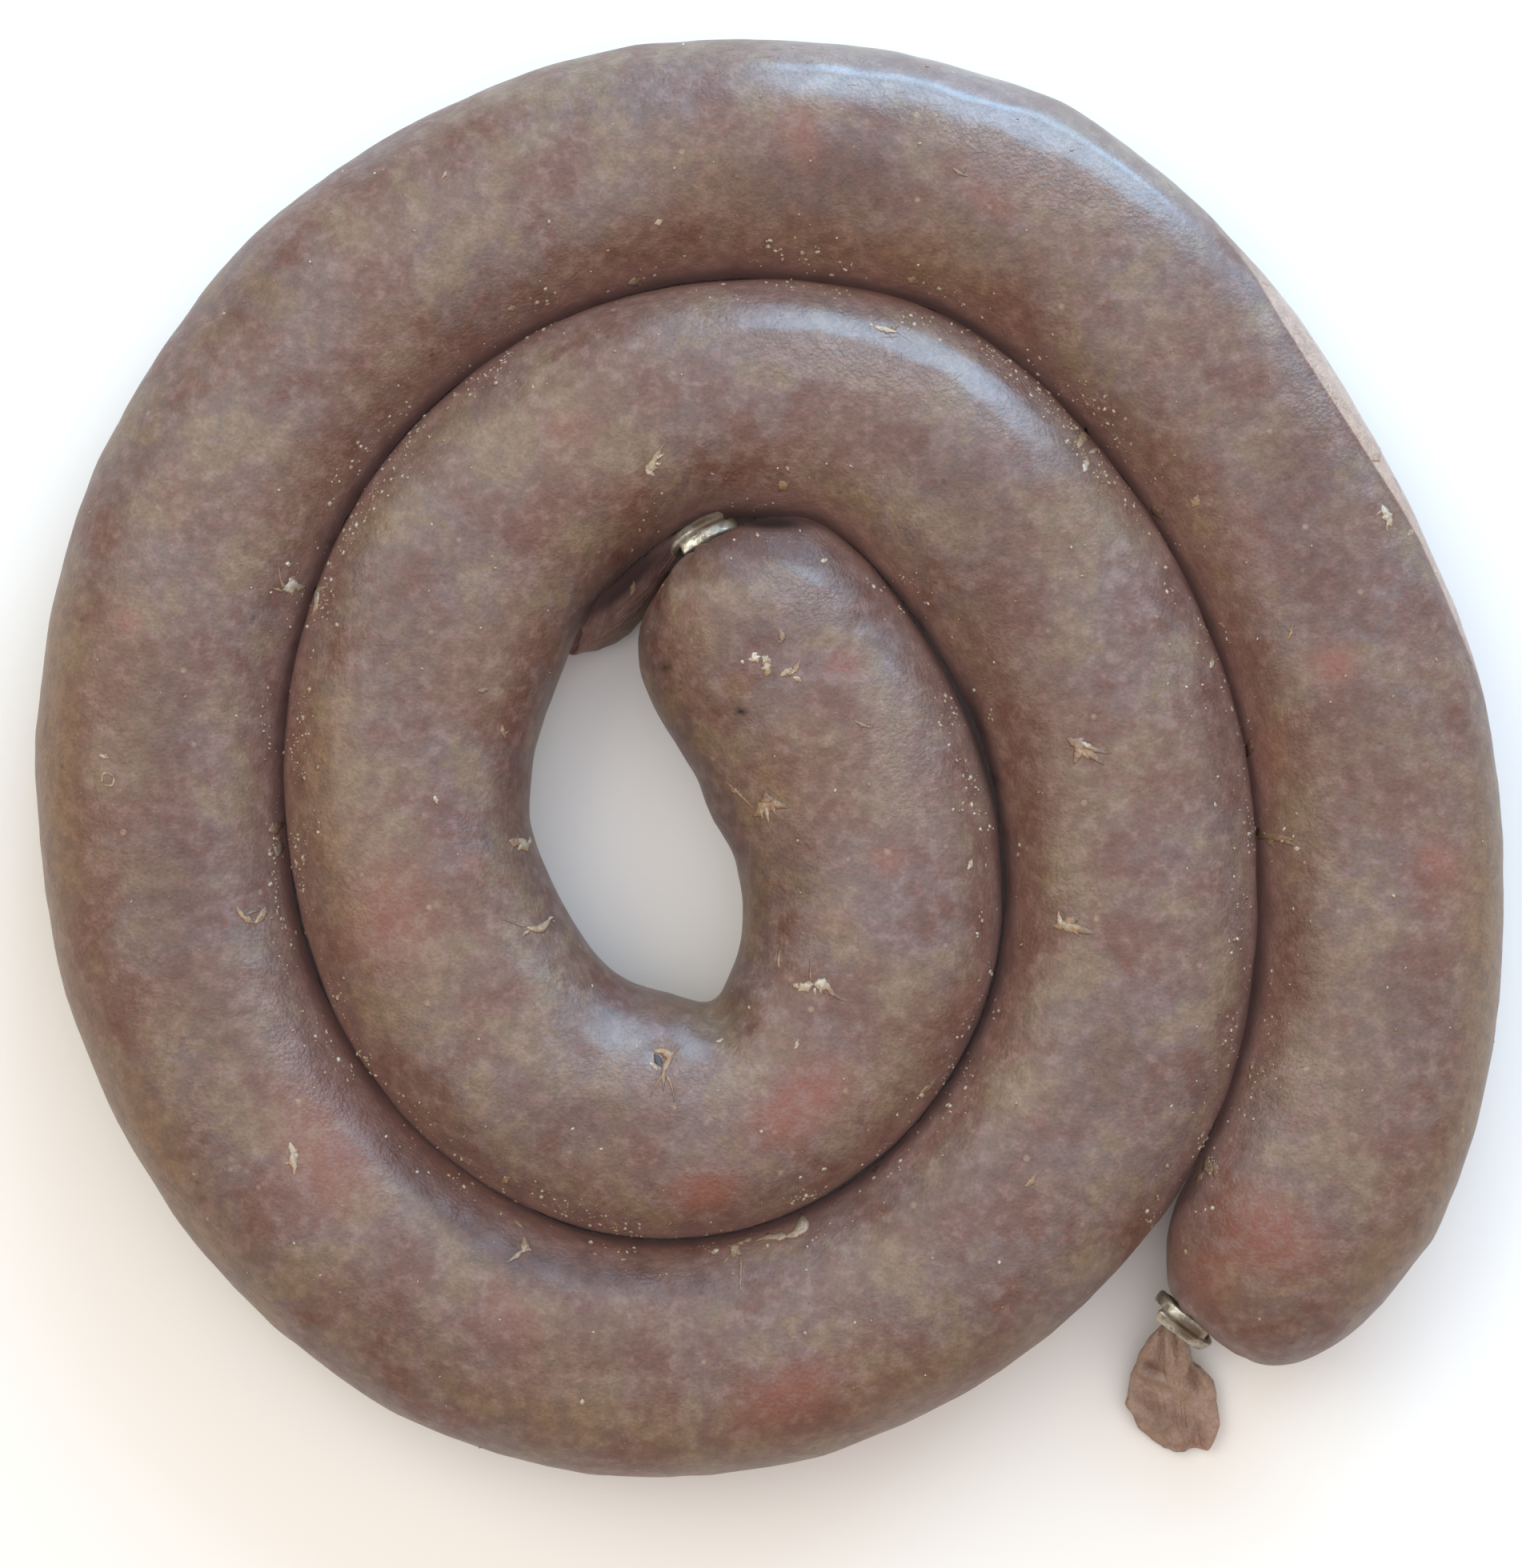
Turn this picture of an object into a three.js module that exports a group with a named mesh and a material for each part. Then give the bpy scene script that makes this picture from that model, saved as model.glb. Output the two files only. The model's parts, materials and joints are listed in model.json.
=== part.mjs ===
// A coiled boudin: one long filled casing laid flat in a spiral of nearly two and a half turns.
// A crimped wire clip closes each end, and a short end of empty casing hangs out of each clip.
// Millimetres, +Z up. The coil lies on z = 0 and is centred on its own box in X and Y.
// Angles are in degrees, clockwise seen from above, from +Y at the centre of the coil's eye.
// They count on from turn to turn, so 390 lies one turn further out than 30.

import * as THREE from "three";

// ---- Driving dimensions ------------------------------------------------------------------------

const HEIGHT = 32; // top of the sausage above the table
const MIDDLE = 15.4; // height at which it is widest
const UNDERSIDE_DEPTH = 17.6; // how deep it would hang if the table did not press it flat
const CONTACT_GAP = 0.3; // between turns that touch
const INNER_CONTACT = { from: 370, full: 400 }; // where its inside starts to press on a turn
const OUTER_CONTACT = { full: 465, until: 495 }; // where its outside leaves the last turn
const UNEVEN_TOP = [
  // slow rises and falls of the top, as hand filling leaves it
  { height: 0.35, perRadian: 3.1, phase: 0.6 },
  { height: 0.3, perRadian: 7.3, phase: 0 },
  { height: 0.15, perRadian: 12.7, phase: 0 },
];
const RING_SIDES = 24;
const RING_SPACING = 5; // along the middle of the sausage

// The coil's edges: distance from the centre of the eye, every 30 degrees.
const EDGE_STEP = 30;
const FIRST_ANGLE = 30;
const EYE_EDGE = [13.5, 10.6, 10.9, 16.9, 25.0, 24.1, 18.1, 15.4, 16.2, 18.1, 24.6, 39.4];
const FIRST_TURN_EDGE = [51.7, 50.4, 53.0, 57.9, 61.1, 61.2, 56.4, 52.8, 52.2, 57.5, 67.5, 78.4];
// From 390 degrees on, each turn lies against the last, and only its thickness is its own.
const OUTER_THICKNESS = [
  35.5, 37.1, 37.1, 37.5, 35.0, 34.8, 36.0, 35.4, 36.3, 36.8, 36.9, 35.7, 35.0, 33.6, 35.9, 36.2,
];

// The eye's rim is creased where the first turn is bent hardest, and dented by the inner clip.
const RIM_CREASE = { angle: 158, depth: 3.2, spread: 7 };
const CLIP_DENT = { angle: 371, depth: 1.8, spread: 7 };
const FLAT_SIDE = { angle: 778, spread: 34 }; // where the outside once lay against a straight wall

// How square the cross-section's sides are: 2 is an ellipse.
const FREE_SIDE = 2.15;
const PRESSED_SIDE = 2.6;
const FLATTENED_SIDE = 3.4;

// The ends. The casing is gathered into a flat neck, runs through a clip, and opens again beyond it
// into a short empty tail: a flattened tube between two long edges, the one nearer the eye first.
const INNER_END = {
  angle: 50, // last full cross-section of the body
  way: -1, // the tail points back along the coil
  tapers: { inner: 1.25, outer: 0.8 }, // how soon each side rounds off: 1 is an even end
  neck: new THREE.Vector3(10.6, 40.2, 20.4), // where the casing enters the clip
  lean: new THREE.Vector3(-0.42, 0.75, -0.3), // the way the casing runs through the clip
  tailEdges: [
    [
      [6.6, 42.9, 19.0],
      [5.6, 41.4, 14.0],
      [4.2, 37.4, 7.6],
      [0.4, 30.9, 4.4],
      [-4.8, 26.6, 3.8],
      [-11.2, 25.2, 4.0],
    ],
    [
      [10.4, 45.0, 19.0],
      [9.5, 43.5, 14.4],
      [5.0, 42.6, 13.4],
      [-0.7, 38.2, 12.0],
      [-6.0, 33.7, 10.4],
      [-9.0, 29.2, 8.4],
    ],
  ],
  tailThickness: [1.9, 2.4, 2.8, 2.8, 3.2, 3.0],
  ruffle: 0.3,
};
const OUTER_END = {
  angle: 838,
  way: 1,
  tapers: { inner: 1.9, outer: 1 },
  neck: new THREE.Vector3(82.0, -72.1, 9.4),
  lean: new THREE.Vector3(-0.6, -0.78, -0.2),
  tailEdges: [
    [
      [77.5, -74.4, 8.5],
      [75.8, -76.3, 7.0],
      [74.1, -79.6, 5.2],
      [73.0, -83.0, 3.8],
      [72.8, -87.0, 2.8],
      [74.8, -91.4, 2.0],
      [78.4, -94.4, 1.4],
    ],
    [
      [81.0, -77.1, 8.5],
      [82.2, -78.6, 6.4],
      [82.6, -80.9, 5.0],
      [85.2, -82.6, 3.4],
      [86.6, -87.2, 2.6],
      [86.4, -91.4, 2.0],
      [85.0, -94.2, 1.4],
    ],
  ],
  tailThickness: [1.9, 3.0, 3.4, 3.2, 2.8, 2.2, 1.5],
  ruffle: 0.7,
};
const NECK = { width: 4.4, thickness: 1.9, length: 4.6 };
const END_SQUARENESS = 2.4; // of the rounded ends, 2 is an ellipse
const END_HANDLES = { body: 0.4, neck: 0.22 }; // of the end's middle line, as shares of its reach
const END_RINGS = 9;
const TAIL_RINGS = 12;
const TAIL_WAVES = 1.5; // of the ruffle, over the tail's width

// A crimped clip: an oval loop of wire, with the ends of the wire side by side on one long side.
const CLIP = {
  width: 9.5, // to the middle of the wire
  height: 5.0,
  wire: { along: 1.5, across: 2.0, round: 0.5 }, // along the neck, and across it
  turns: 1.27,
  sideStep: 1.75, // from one end of the wire to the other, along the neck
  stepWithin: 0.625, // the share of the loop over which the wire makes that step
  steps: 32,
};

// ---- Curves ------------------------------------------------------------------------------------

const { clamp, degToRad, lerp, radToDeg, smoothstep } = THREE.MathUtils;
const UP = new THREE.Vector3(0, 0, 1);

/** A smooth curve through values that stand at even steps of x (Catmull-Rom). */
function smoothThrough(values, first, step) {
  const last = values.length - 1;
  const beyond = (i) => {
    if (i < 0) return 2 * values[0] - values[1];
    return i > last ? 2 * values[last] - values[last - 1] : values[i];
  };
  return (x) => {
    const along = clamp((x - first) / step, 0, last);
    const i = Math.min(Math.floor(along), last - 1);
    const f = along - i;
    const [a, b, c, d] = [-1, 0, 1, 2].map((k) => beyond(i + k));
    return b + 0.5 * f * (c - a + f * (2 * a - 5 * b + 4 * c - d + f * (3 * (b - c) + d - a)));
  };
}

/** 1 at the centre of a feature, falling smoothly to 0 well past its spread. */
const bell = (x, centre, spread) => Math.exp(-(((x - centre) / spread) ** 2));

const FULL_TURN = 360;
const secondTurn = FIRST_ANGLE + FULL_TURN;
const eyeEdge = smoothThrough(
  [...EYE_EDGE, FIRST_TURN_EDGE[0] + CONTACT_GAP],
  FIRST_ANGLE,
  EDGE_STEP,
);
const firstTurnEdge = smoothThrough(
  [...FIRST_TURN_EDGE, FIRST_TURN_EDGE[0] + CONTACT_GAP + OUTER_THICKNESS[0]],
  FIRST_ANGLE,
  EDGE_STEP,
);
const outerThickness = smoothThrough(OUTER_THICKNESS, secondTurn, EDGE_STEP);

/** Distance from the eye's centre to the outside of the sausage. */
function outerEdge(angle) {
  if (angle < secondTurn) return firstTurnEdge(angle);
  return outerEdge(angle - FULL_TURN) + CONTACT_GAP + outerThickness(angle);
}

/** Distance from the eye's centre to its inside: the eye's rim, then the turn it lies against. */
function innerEdge(angle) {
  if (angle >= secondTurn) return outerEdge(angle - FULL_TURN) + CONTACT_GAP;
  const pushedOut = ({ angle: at, depth, spread }) => depth * bell(angle, at, spread);
  return eyeEdge(angle) + pushedOut(RIM_CREASE) + pushedOut(CLIP_DENT);
}

const outward = (angle) => new THREE.Vector3(Math.sin(degToRad(angle)), Math.cos(degToRad(angle)), 0);
const onward = (angle) => new THREE.Vector3(Math.cos(degToRad(angle)), -Math.sin(degToRad(angle)), 0);
const middleRadius = (angle) => (innerEdge(angle) + outerEdge(angle)) / 2;

/** Where the middle of the sausage is. */
const middle = (angle) => outward(angle).multiplyScalar(middleRadius(angle)).setZ(MIDDLE);

// ---- Cross-sections ----------------------------------------------------------------------------

/**
 * A ring of points round a cross-section, with none of them below the table. Each side of it, the
 * inner nearer the eye, is half of a squared ellipse of its own width and squareness.
 */
function ringOf({ centre, across, rise, inner, outer, above, below }) {
  return Array.from({ length: RING_SIDES }, (_, i) => {
    const c = Math.cos((2 * Math.PI * i) / RING_SIDES);
    const s = Math.sin((2 * Math.PI * i) / RING_SIDES);
    const side = c > 0 ? outer : inner;
    const x = Math.sign(c) * Math.abs(c) ** (2 / side.squareness) * side.width;
    const z = Math.sign(s) * Math.abs(s) ** (2 / side.squareness) * (s > 0 ? above : below);
    const point = centre.clone().addScaledVector(across, x).addScaledVector(rise, z);
    return point.setZ(Math.max(point.z, 0));
  });
}

/** How hard the sausage is pressed against the turn inside or outside it, from 0 to 1. */
const pressedInside = (angle) => smoothstep(angle, INNER_CONTACT.from, INNER_CONTACT.full);
const pressedOutside = (angle) => 1 - smoothstep(angle, OUTER_CONTACT.full, OUTER_CONTACT.until);

/** How far the top rises or falls at an angle. */
function unevenness(angle) {
  const waves = UNEVEN_TOP.map(
    ({ height, perRadian, phase }) => height * Math.sin(perRadian * degToRad(angle) + phase),
  );
  return waves.reduce((sum, wave) => sum + wave, 0);
}

/** The cross-section of the body at an angle. */
function bodySection(angle) {
  const width = (outerEdge(angle) - innerEdge(angle)) / 2;
  const flattening = (FLATTENED_SIDE - FREE_SIDE) * bell(angle, FLAT_SIDE.angle, FLAT_SIDE.spread);
  const squareness = (pressed) => lerp(FREE_SIDE, PRESSED_SIDE, pressed);
  return {
    centre: middle(angle),
    across: outward(angle),
    rise: UP,
    inner: { width, squareness: squareness(pressedInside(angle)) },
    outer: { width, squareness: squareness(pressedOutside(angle)) + flattening },
    above: HEIGHT - MIDDLE + unevenness(angle),
    below: UNDERSIDE_DEPTH,
  };
}

/** Rings of the body, a ring's spacing apart along its middle. */
function bodyRings() {
  const angles = [INNER_END.angle];
  while (angles.at(-1) < OUTER_END.angle) {
    const angle = angles.at(-1);
    angles.push(angle + radToDeg(RING_SPACING / middleRadius(angle)));
  }
  angles[angles.length - 1] = OUTER_END.angle;
  return angles.map((angle) => ringOf(bodySection(angle)));
}

/** Keeps a point of a rounded end clear of the turn that lies beside it. */
function keepClear(point, way) {
  const radius = Math.hypot(point.x, point.y);
  const angle = (radToDeg(Math.atan2(point.x, point.y)) + FULL_TURN) % FULL_TURN;
  const allowed =
    way < 0
      ? Math.min(radius, innerEdge(angle + FULL_TURN) - CONTACT_GAP)
      : Math.max(radius, outerEdge(angle + FULL_TURN) + CONTACT_GAP);
  return point.set((point.x * allowed) / radius, (point.y * allowed) / radius, point.z);
}

/** Rings of a rounded end, from the body's last cross-section to the far side of the clip. */
function endRings(end) {
  const base = bodySection(end.angle);
  const lean = end.lean.clone().normalize();
  const reach = base.centre.distanceTo(end.neck);
  const path = new THREE.CubicBezierCurve3(
    base.centre,
    base.centre.clone().addScaledVector(onward(end.angle), END_HANDLES.body * reach * end.way),
    end.neck.clone().addScaledVector(lean, -END_HANDLES.neck * reach),
    end.neck,
  );
  const sectionAt = (centre, tangent, fullness) => {
    const forward = tangent.clone().multiplyScalar(end.way);
    const across = new THREE.Vector3().crossVectors(UP, forward).normalize();
    const narrowed = ({ width, squareness }, taper) => ({
      width: lerp(NECK.width / 2, width, fullness ** taper),
      squareness: lerp(2, squareness, fullness),
    });
    return {
      centre,
      across,
      rise: new THREE.Vector3().crossVectors(forward, across),
      inner: narrowed(base.inner, end.tapers.inner),
      outer: narrowed(base.outer, end.tapers.outer),
      above: lerp(NECK.thickness / 2, base.above, fullness),
      below: lerp(NECK.thickness / 2, base.below, fullness),
    };
  };
  const rings = [];
  for (let i = 1; i <= END_RINGS; i++) {
    const t = (Math.PI / 2) * (i / END_RINGS);
    const along = Math.sin(t) ** (2 / END_SQUARENESS);
    const fullness = Math.max(Math.cos(t), 0) ** (2 / END_SQUARENESS);
    const section = sectionAt(path.getPoint(along), path.getTangent(along), fullness);
    rings.push(ringOf(section).map((point) => keepClear(point, end.way)));
  }
  const farSide = end.neck.clone().addScaledVector(lean, NECK.length);
  rings.push(ringOf(sectionAt(farSide, lean, 0)));
  return rings;
}

/** Rings of the empty tail beyond a clip. */
function tailRings({ tailEdges, tailThickness, ruffle, way }) {
  const [innerEdgeLine, outerEdgeLine] = tailEdges.map(
    (edge) => new THREE.CatmullRomCurve3(edge.map((point) => new THREE.Vector3(...point))),
  );
  const thickness = smoothThrough(tailThickness, 0, 1 / (tailThickness.length - 1));
  const rings = [];
  for (let i = 1; i <= TAIL_RINGS; i++) {
    const t = i / TAIL_RINGS;
    const from = innerEdgeLine.getPoint(t);
    const halfSpan = outerEdgeLine.getPoint(t).sub(from).multiplyScalar(0.5);
    const forward = innerEdgeLine.getTangent(t).add(outerEdgeLine.getTangent(t)).multiplyScalar(way);
    const rise = new THREE.Vector3().crossVectors(forward, halfSpan).normalize();
    const ring = [];
    for (let j = 0; j < RING_SIDES; j++) {
      const turn = (2 * Math.PI * j) / RING_SIDES;
      const x = Math.cos(turn);
      const wave = ruffle * t * Math.sin(Math.PI * TAIL_WAVES * x + 3 * t);
      const point = from.clone().addScaledVector(halfSpan, 1 + x);
      point.addScaledVector(rise, (Math.sin(turn) * thickness(t)) / 2 + wave);
      ring.push(point.setZ(Math.max(point.z, 0)));
    }
    rings.push(ring);
  }
  return rings;
}

// ---- Solids ------------------------------------------------------------------------------------

/** A closed skin over a row of rings of points. */
function skinOver(rings) {
  const sides = RING_SIDES;
  const faces = [];
  for (let i = 0; i < rings.length - 1; i++) {
    for (let j = 0; j < sides; j++) {
      const a = i * sides + j;
      const b = i * sides + ((j + 1) % sides);
      faces.push(a, b, a + sides, b, b + sides, a + sides);
    }
  }
  // Each end is closed by strips across the flat ring, from its upper side to its lower.
  const closeRing = (start, flip) => {
    for (let j = 0; j < sides / 2; j++) {
      const [a, b] = [j, j + 1];
      const [c, d] = [(sides - j) % sides, sides - j - 1];
      const halves = [
        [a, b, d],
        [a, d, c],
      ];
      for (const face of halves) {
        if (new Set(face).size < face.length) continue; // the two sides meet here
        faces.push(...(flip ? face.reverse() : face).map((k) => start + k));
      }
    }
  };
  closeRing(0, true);
  closeRing((rings.length - 1) * sides, false);
  const skin = new THREE.BufferGeometry().setFromPoints(rings.flat()).setIndex(faces);
  skin.computeVertexNormals();
  return skin;
}

/** The filled casing, from the tip of one empty tail to the tip of the other. */
function casingGeometry() {
  const innerRings = [...endRings(INNER_END), ...tailRings(INNER_END)];
  return skinOver([
    ...innerRings.reverse(),
    ...bodyRings(),
    ...endRings(OUTER_END),
    ...tailRings(OUTER_END),
  ]);
}

/** The wire clip, with the neck's way as its Y axis. */
function clipGeometry() {
  const { along, across, round } = CLIP.wire;
  const points = [];
  for (let i = 0; i <= CLIP.steps; i++) {
    const t = (2 * i) / CLIP.steps - 1;
    const turn = Math.PI * CLIP.turns * t;
    const step = (CLIP.sideStep / 2) * Math.sin((Math.PI / 2) * clamp(t / CLIP.stepWithin, -1, 1));
    const x = (-CLIP.width / 2) * Math.sin(turn);
    const z = (-CLIP.height / 2) * Math.cos(turn);
    points.push(new THREE.Vector3(x, step, z));
  }
  const section = new THREE.Shape();
  for (let corner = 0; corner < 4; corner++) {
    const from = (corner * Math.PI) / 2;
    const x = (across / 2 - round) * Math.sign(Math.cos(from + Math.PI / 4));
    const y = (along / 2 - round) * Math.sign(Math.sin(from + Math.PI / 4));
    section.absarc(x, y, round, from, from + Math.PI / 2);
  }
  return new THREE.ExtrudeGeometry(section, {
    steps: CLIP.steps,
    curveSegments: 2,
    bevelEnabled: false,
    extrudePath: new THREE.CatmullRomCurve3(points),
  });
}

/** A clip, half way along the neck of an end. */
function clipOn(end, name, material) {
  const lean = end.lean.clone().normalize();
  const across = new THREE.Vector3().crossVectors(lean, UP).normalize();
  const rise = new THREE.Vector3().crossVectors(across, lean);
  const clip = new THREE.Mesh(clipGeometry(), material);
  clip.name = name;
  clip.quaternion.setFromRotationMatrix(new THREE.Matrix4().makeBasis(across, lean, rise));
  clip.position.copy(end.neck).addScaledVector(lean, NECK.length / 2);
  return clip;
}

// ---- The object --------------------------------------------------------------------------------

const casingMaterial = new THREE.MeshStandardMaterial({ color: "#7d6560", roughness: 0.42 });
const clipMaterial = new THREE.MeshStandardMaterial({
  color: "#c9c8be",
  roughness: 0.38,
  metalness: 1,
});

const sausage = new THREE.Mesh(casingGeometry(), casingMaterial);
sausage.name = "sausage";

const coil = new THREE.Group();
coil.add(
  sausage,
  clipOn(INNER_END, "clip_inner", clipMaterial),
  clipOn(OUTER_END, "clip_outer", clipMaterial),
);
const box = new THREE.Box3().setFromObject(coil, true);
coil.position.set(-(box.min.x + box.max.x) / 2, -(box.min.y + box.max.y) / 2, 0);

const boudin = new THREE.Group();
boudin.add(coil);

export default boudin;
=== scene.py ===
"""A coiled boudin: one long filled casing in a flat spiral, clipped and with a loose tail at each end.

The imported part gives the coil, its necks and tails and the two wire clips at their real sizes. This
script gives them their skin: the smooth uneven tube, its wrinkles, pleats and creases, the mottled
casing with the filling showing through, the crumbs along the seams, and the shreds and threads of
loose casing that lie on it. Everything is in metres, in the frame of the part.
"""

import json
import logging
import math
from collections.abc import Iterator
from contextlib import contextmanager
from dataclasses import dataclass, field

import bpy
import numpy as np
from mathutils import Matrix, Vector, kdtree, noise
from mathutils.bvhtree import BVHTree

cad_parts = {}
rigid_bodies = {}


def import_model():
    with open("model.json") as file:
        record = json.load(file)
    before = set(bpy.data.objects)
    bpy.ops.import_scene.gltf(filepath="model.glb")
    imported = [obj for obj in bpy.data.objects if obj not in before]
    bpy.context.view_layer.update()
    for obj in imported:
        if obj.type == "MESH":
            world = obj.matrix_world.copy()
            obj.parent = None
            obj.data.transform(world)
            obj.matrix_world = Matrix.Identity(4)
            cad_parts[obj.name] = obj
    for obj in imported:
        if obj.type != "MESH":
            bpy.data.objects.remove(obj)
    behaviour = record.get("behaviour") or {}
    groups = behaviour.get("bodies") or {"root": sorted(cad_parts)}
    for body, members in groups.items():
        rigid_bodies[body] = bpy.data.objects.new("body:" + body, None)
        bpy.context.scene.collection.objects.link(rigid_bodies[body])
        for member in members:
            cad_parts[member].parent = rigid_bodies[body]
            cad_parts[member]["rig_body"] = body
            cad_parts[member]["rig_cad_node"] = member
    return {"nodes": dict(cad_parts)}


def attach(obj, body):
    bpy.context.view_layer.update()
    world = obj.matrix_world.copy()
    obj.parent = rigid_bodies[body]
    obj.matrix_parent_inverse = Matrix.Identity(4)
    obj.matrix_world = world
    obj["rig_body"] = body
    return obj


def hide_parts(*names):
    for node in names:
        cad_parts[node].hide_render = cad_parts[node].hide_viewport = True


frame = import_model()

LOG = logging.getLogger("boudin")
MM = 0.001
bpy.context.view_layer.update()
EYE = Vector((-19.006, -9.649, 0)) * MM  # the middle of the coil's open eye
SIDES = 24  # points in each ring of the casing
TOP, INNER_SIDE = 6, 12  # columns of a ring, which start at the side away from the eye
SAME_PLACE = 1e-6  # points nearer than this are one
BODY = "root"
Triple = tuple[float, float, float]
Pixel = tuple[float, float]
Range = tuple[float, float]
Socket = bpy.types.NodeSocket


# ---- Helpers -------------------------------------------------------------------------------------


def only(obj: bpy.types.Object) -> bpy.types.Object:
    """Makes obj the only selected object, and the active one.

    Args:
        obj: The object.

    Returns:
        The same object.
    """
    bpy.ops.object.select_all(action="DESELECT")
    obj.select_set(True)
    bpy.context.view_layer.objects.active = obj
    return obj


def applied(obj: bpy.types.Object, kind: str, **settings: object) -> None:
    """Adds a modifier to obj and applies it.

    Args:
        obj: The mesh to change.
        kind: Blender's name for the kind of modifier.
        **settings: The modifier's own settings.
    """
    only(obj)
    modifier = obj.modifiers.new(kind.lower(), kind)
    for name, value in settings.items():
        setattr(modifier, name, value)
    bpy.ops.object.modifier_apply(modifier=modifier.name)


@contextmanager
def editing(obj: bpy.types.Object, kind: str = "VERT", chosen: np.ndarray | None = None) -> Iterator[None]:
    """Edit mode, with all of a mesh or only some of its edges or faces selected.

    Args:
        obj: The mesh.
        kind: What is selected: VERT, EDGE or FACE.
        chosen: Whether each edge or face is, or None for all of them.
    """
    only(obj)
    bpy.ops.object.mode_set(mode="EDIT")
    bpy.ops.mesh.select_mode(type=kind)
    bpy.ops.mesh.select_all(action="SELECT" if chosen is None else "DESELECT")
    if chosen is not None:
        bpy.ops.object.mode_set(mode="OBJECT")
        (obj.data.edges if kind == "EDGE" else obj.data.polygons).foreach_set("select", chosen)
        bpy.ops.object.mode_set(mode="EDIT")
    yield
    bpy.ops.object.mode_set(mode="OBJECT")


def packed_copy(node: str, name: str) -> bpy.types.Object:
    """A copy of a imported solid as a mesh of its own, with its doubled points merged.

    Args:
        node: The solid's node.
        name: The copy's name.

    Returns:
        The copy.
    """
    only(frame["nodes"][node])
    bpy.ops.object.duplicate(linked=False)
    obj = bpy.context.view_layer.objects.active
    obj.parent = None
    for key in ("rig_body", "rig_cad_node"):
        del obj[key]
    obj.name = obj.data.name = name
    with editing(obj):
        bpy.ops.mesh.remove_doubles(threshold=SAME_PLACE)
        bpy.ops.mesh.customdata_custom_splitnormals_clear()
    return obj


def places(obj: bpy.types.Object) -> np.ndarray:
    """The places of obj's vertices, one row each."""
    found = np.empty(len(obj.data.vertices) * 3)
    obj.data.vertices.foreach_get("co", found)
    return found.reshape(-1, 3)


def normals(obj: bpy.types.Object) -> np.ndarray:
    """The outward directions at obj's vertices, one row each."""
    found = np.empty(len(obj.data.vertices) * 3)
    obj.data.vertex_normals.foreach_get("vector", found)
    return found.reshape(-1, 3)


def move_to(obj: bpy.types.Object, points: np.ndarray) -> None:
    """Puts obj's vertices at points."""
    obj.data.vertices.foreach_set("co", points.ravel())
    obj.data.update()


def store(obj: bpy.types.Object, name: str, values: np.ndarray) -> None:
    """Keeps a number, or a triple of numbers, for each vertex of obj.

    Args:
        obj: The mesh.
        name: The attribute's name.
        values: One number or one row of three for each vertex.
    """
    kind, key = ("FLOAT", "value") if values.ndim == 1 else ("FLOAT_VECTOR", "vector")
    attribute = obj.data.attributes.get(name) or obj.data.attributes.new(name, kind, "POINT")
    attribute.data.foreach_set(key, values.astype(np.float32).ravel())


def recall(obj: bpy.types.Object, name: str) -> np.ndarray:
    """The numbers kept for each vertex of obj under a name.

    Args:
        obj: The mesh.
        name: The attribute's name.

    Returns:
        One number or one row of three for each vertex.
    """
    attribute = obj.data.attributes[name]
    triple = attribute.data_type == "FLOAT_VECTOR"
    found = np.empty(len(obj.data.vertices) * (3 if triple else 1), np.float32)
    attribute.data.foreach_get("vector" if triple else "value", found)
    return (found.reshape(-1, 3) if triple else found).astype(float)


def smooth(low: float, high: float, value: np.ndarray) -> np.ndarray:
    """0 up to low, 1 from high on, and a smooth step between."""
    t = np.clip((value - low) / (high - low), 0, 1)
    return t * t * (3 - 2 * t)


def bell(value: np.ndarray, centre: float, spread: float) -> np.ndarray:
    """1 at the centre, falling smoothly to 0 well past the spread."""
    return np.exp(-(((value - centre) / spread) ** 2))


def rough_noise(points: np.ndarray, size: float, seed: float = 0, octaves: int = 2) -> np.ndarray:
    """Smooth random heights between about -1 and 1.

    Args:
        points: Where, one row each.
        size: The size of the lumps, in the same unit.
        seed: Another number gives other lumps.
        octaves: How many finer layers are added.

    Returns:
        One height for each point.
    """
    shifted = points / size + seed * 17.3
    return np.array([noise.fractal(Vector(p), 1.0, 2.0, octaves) for p in shifted])


def report(obj: bpy.types.Object, what: str) -> None:
    """Logs what a piece is and how many triangles it has."""
    triangles = sum(len(p.vertices) - 2 for p in obj.data.polygons)
    LOG.info("%s: %s, %d triangles", obj.name, what, triangles)


# ---- Finishes ------------------------------------------------------------------------------------


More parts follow.
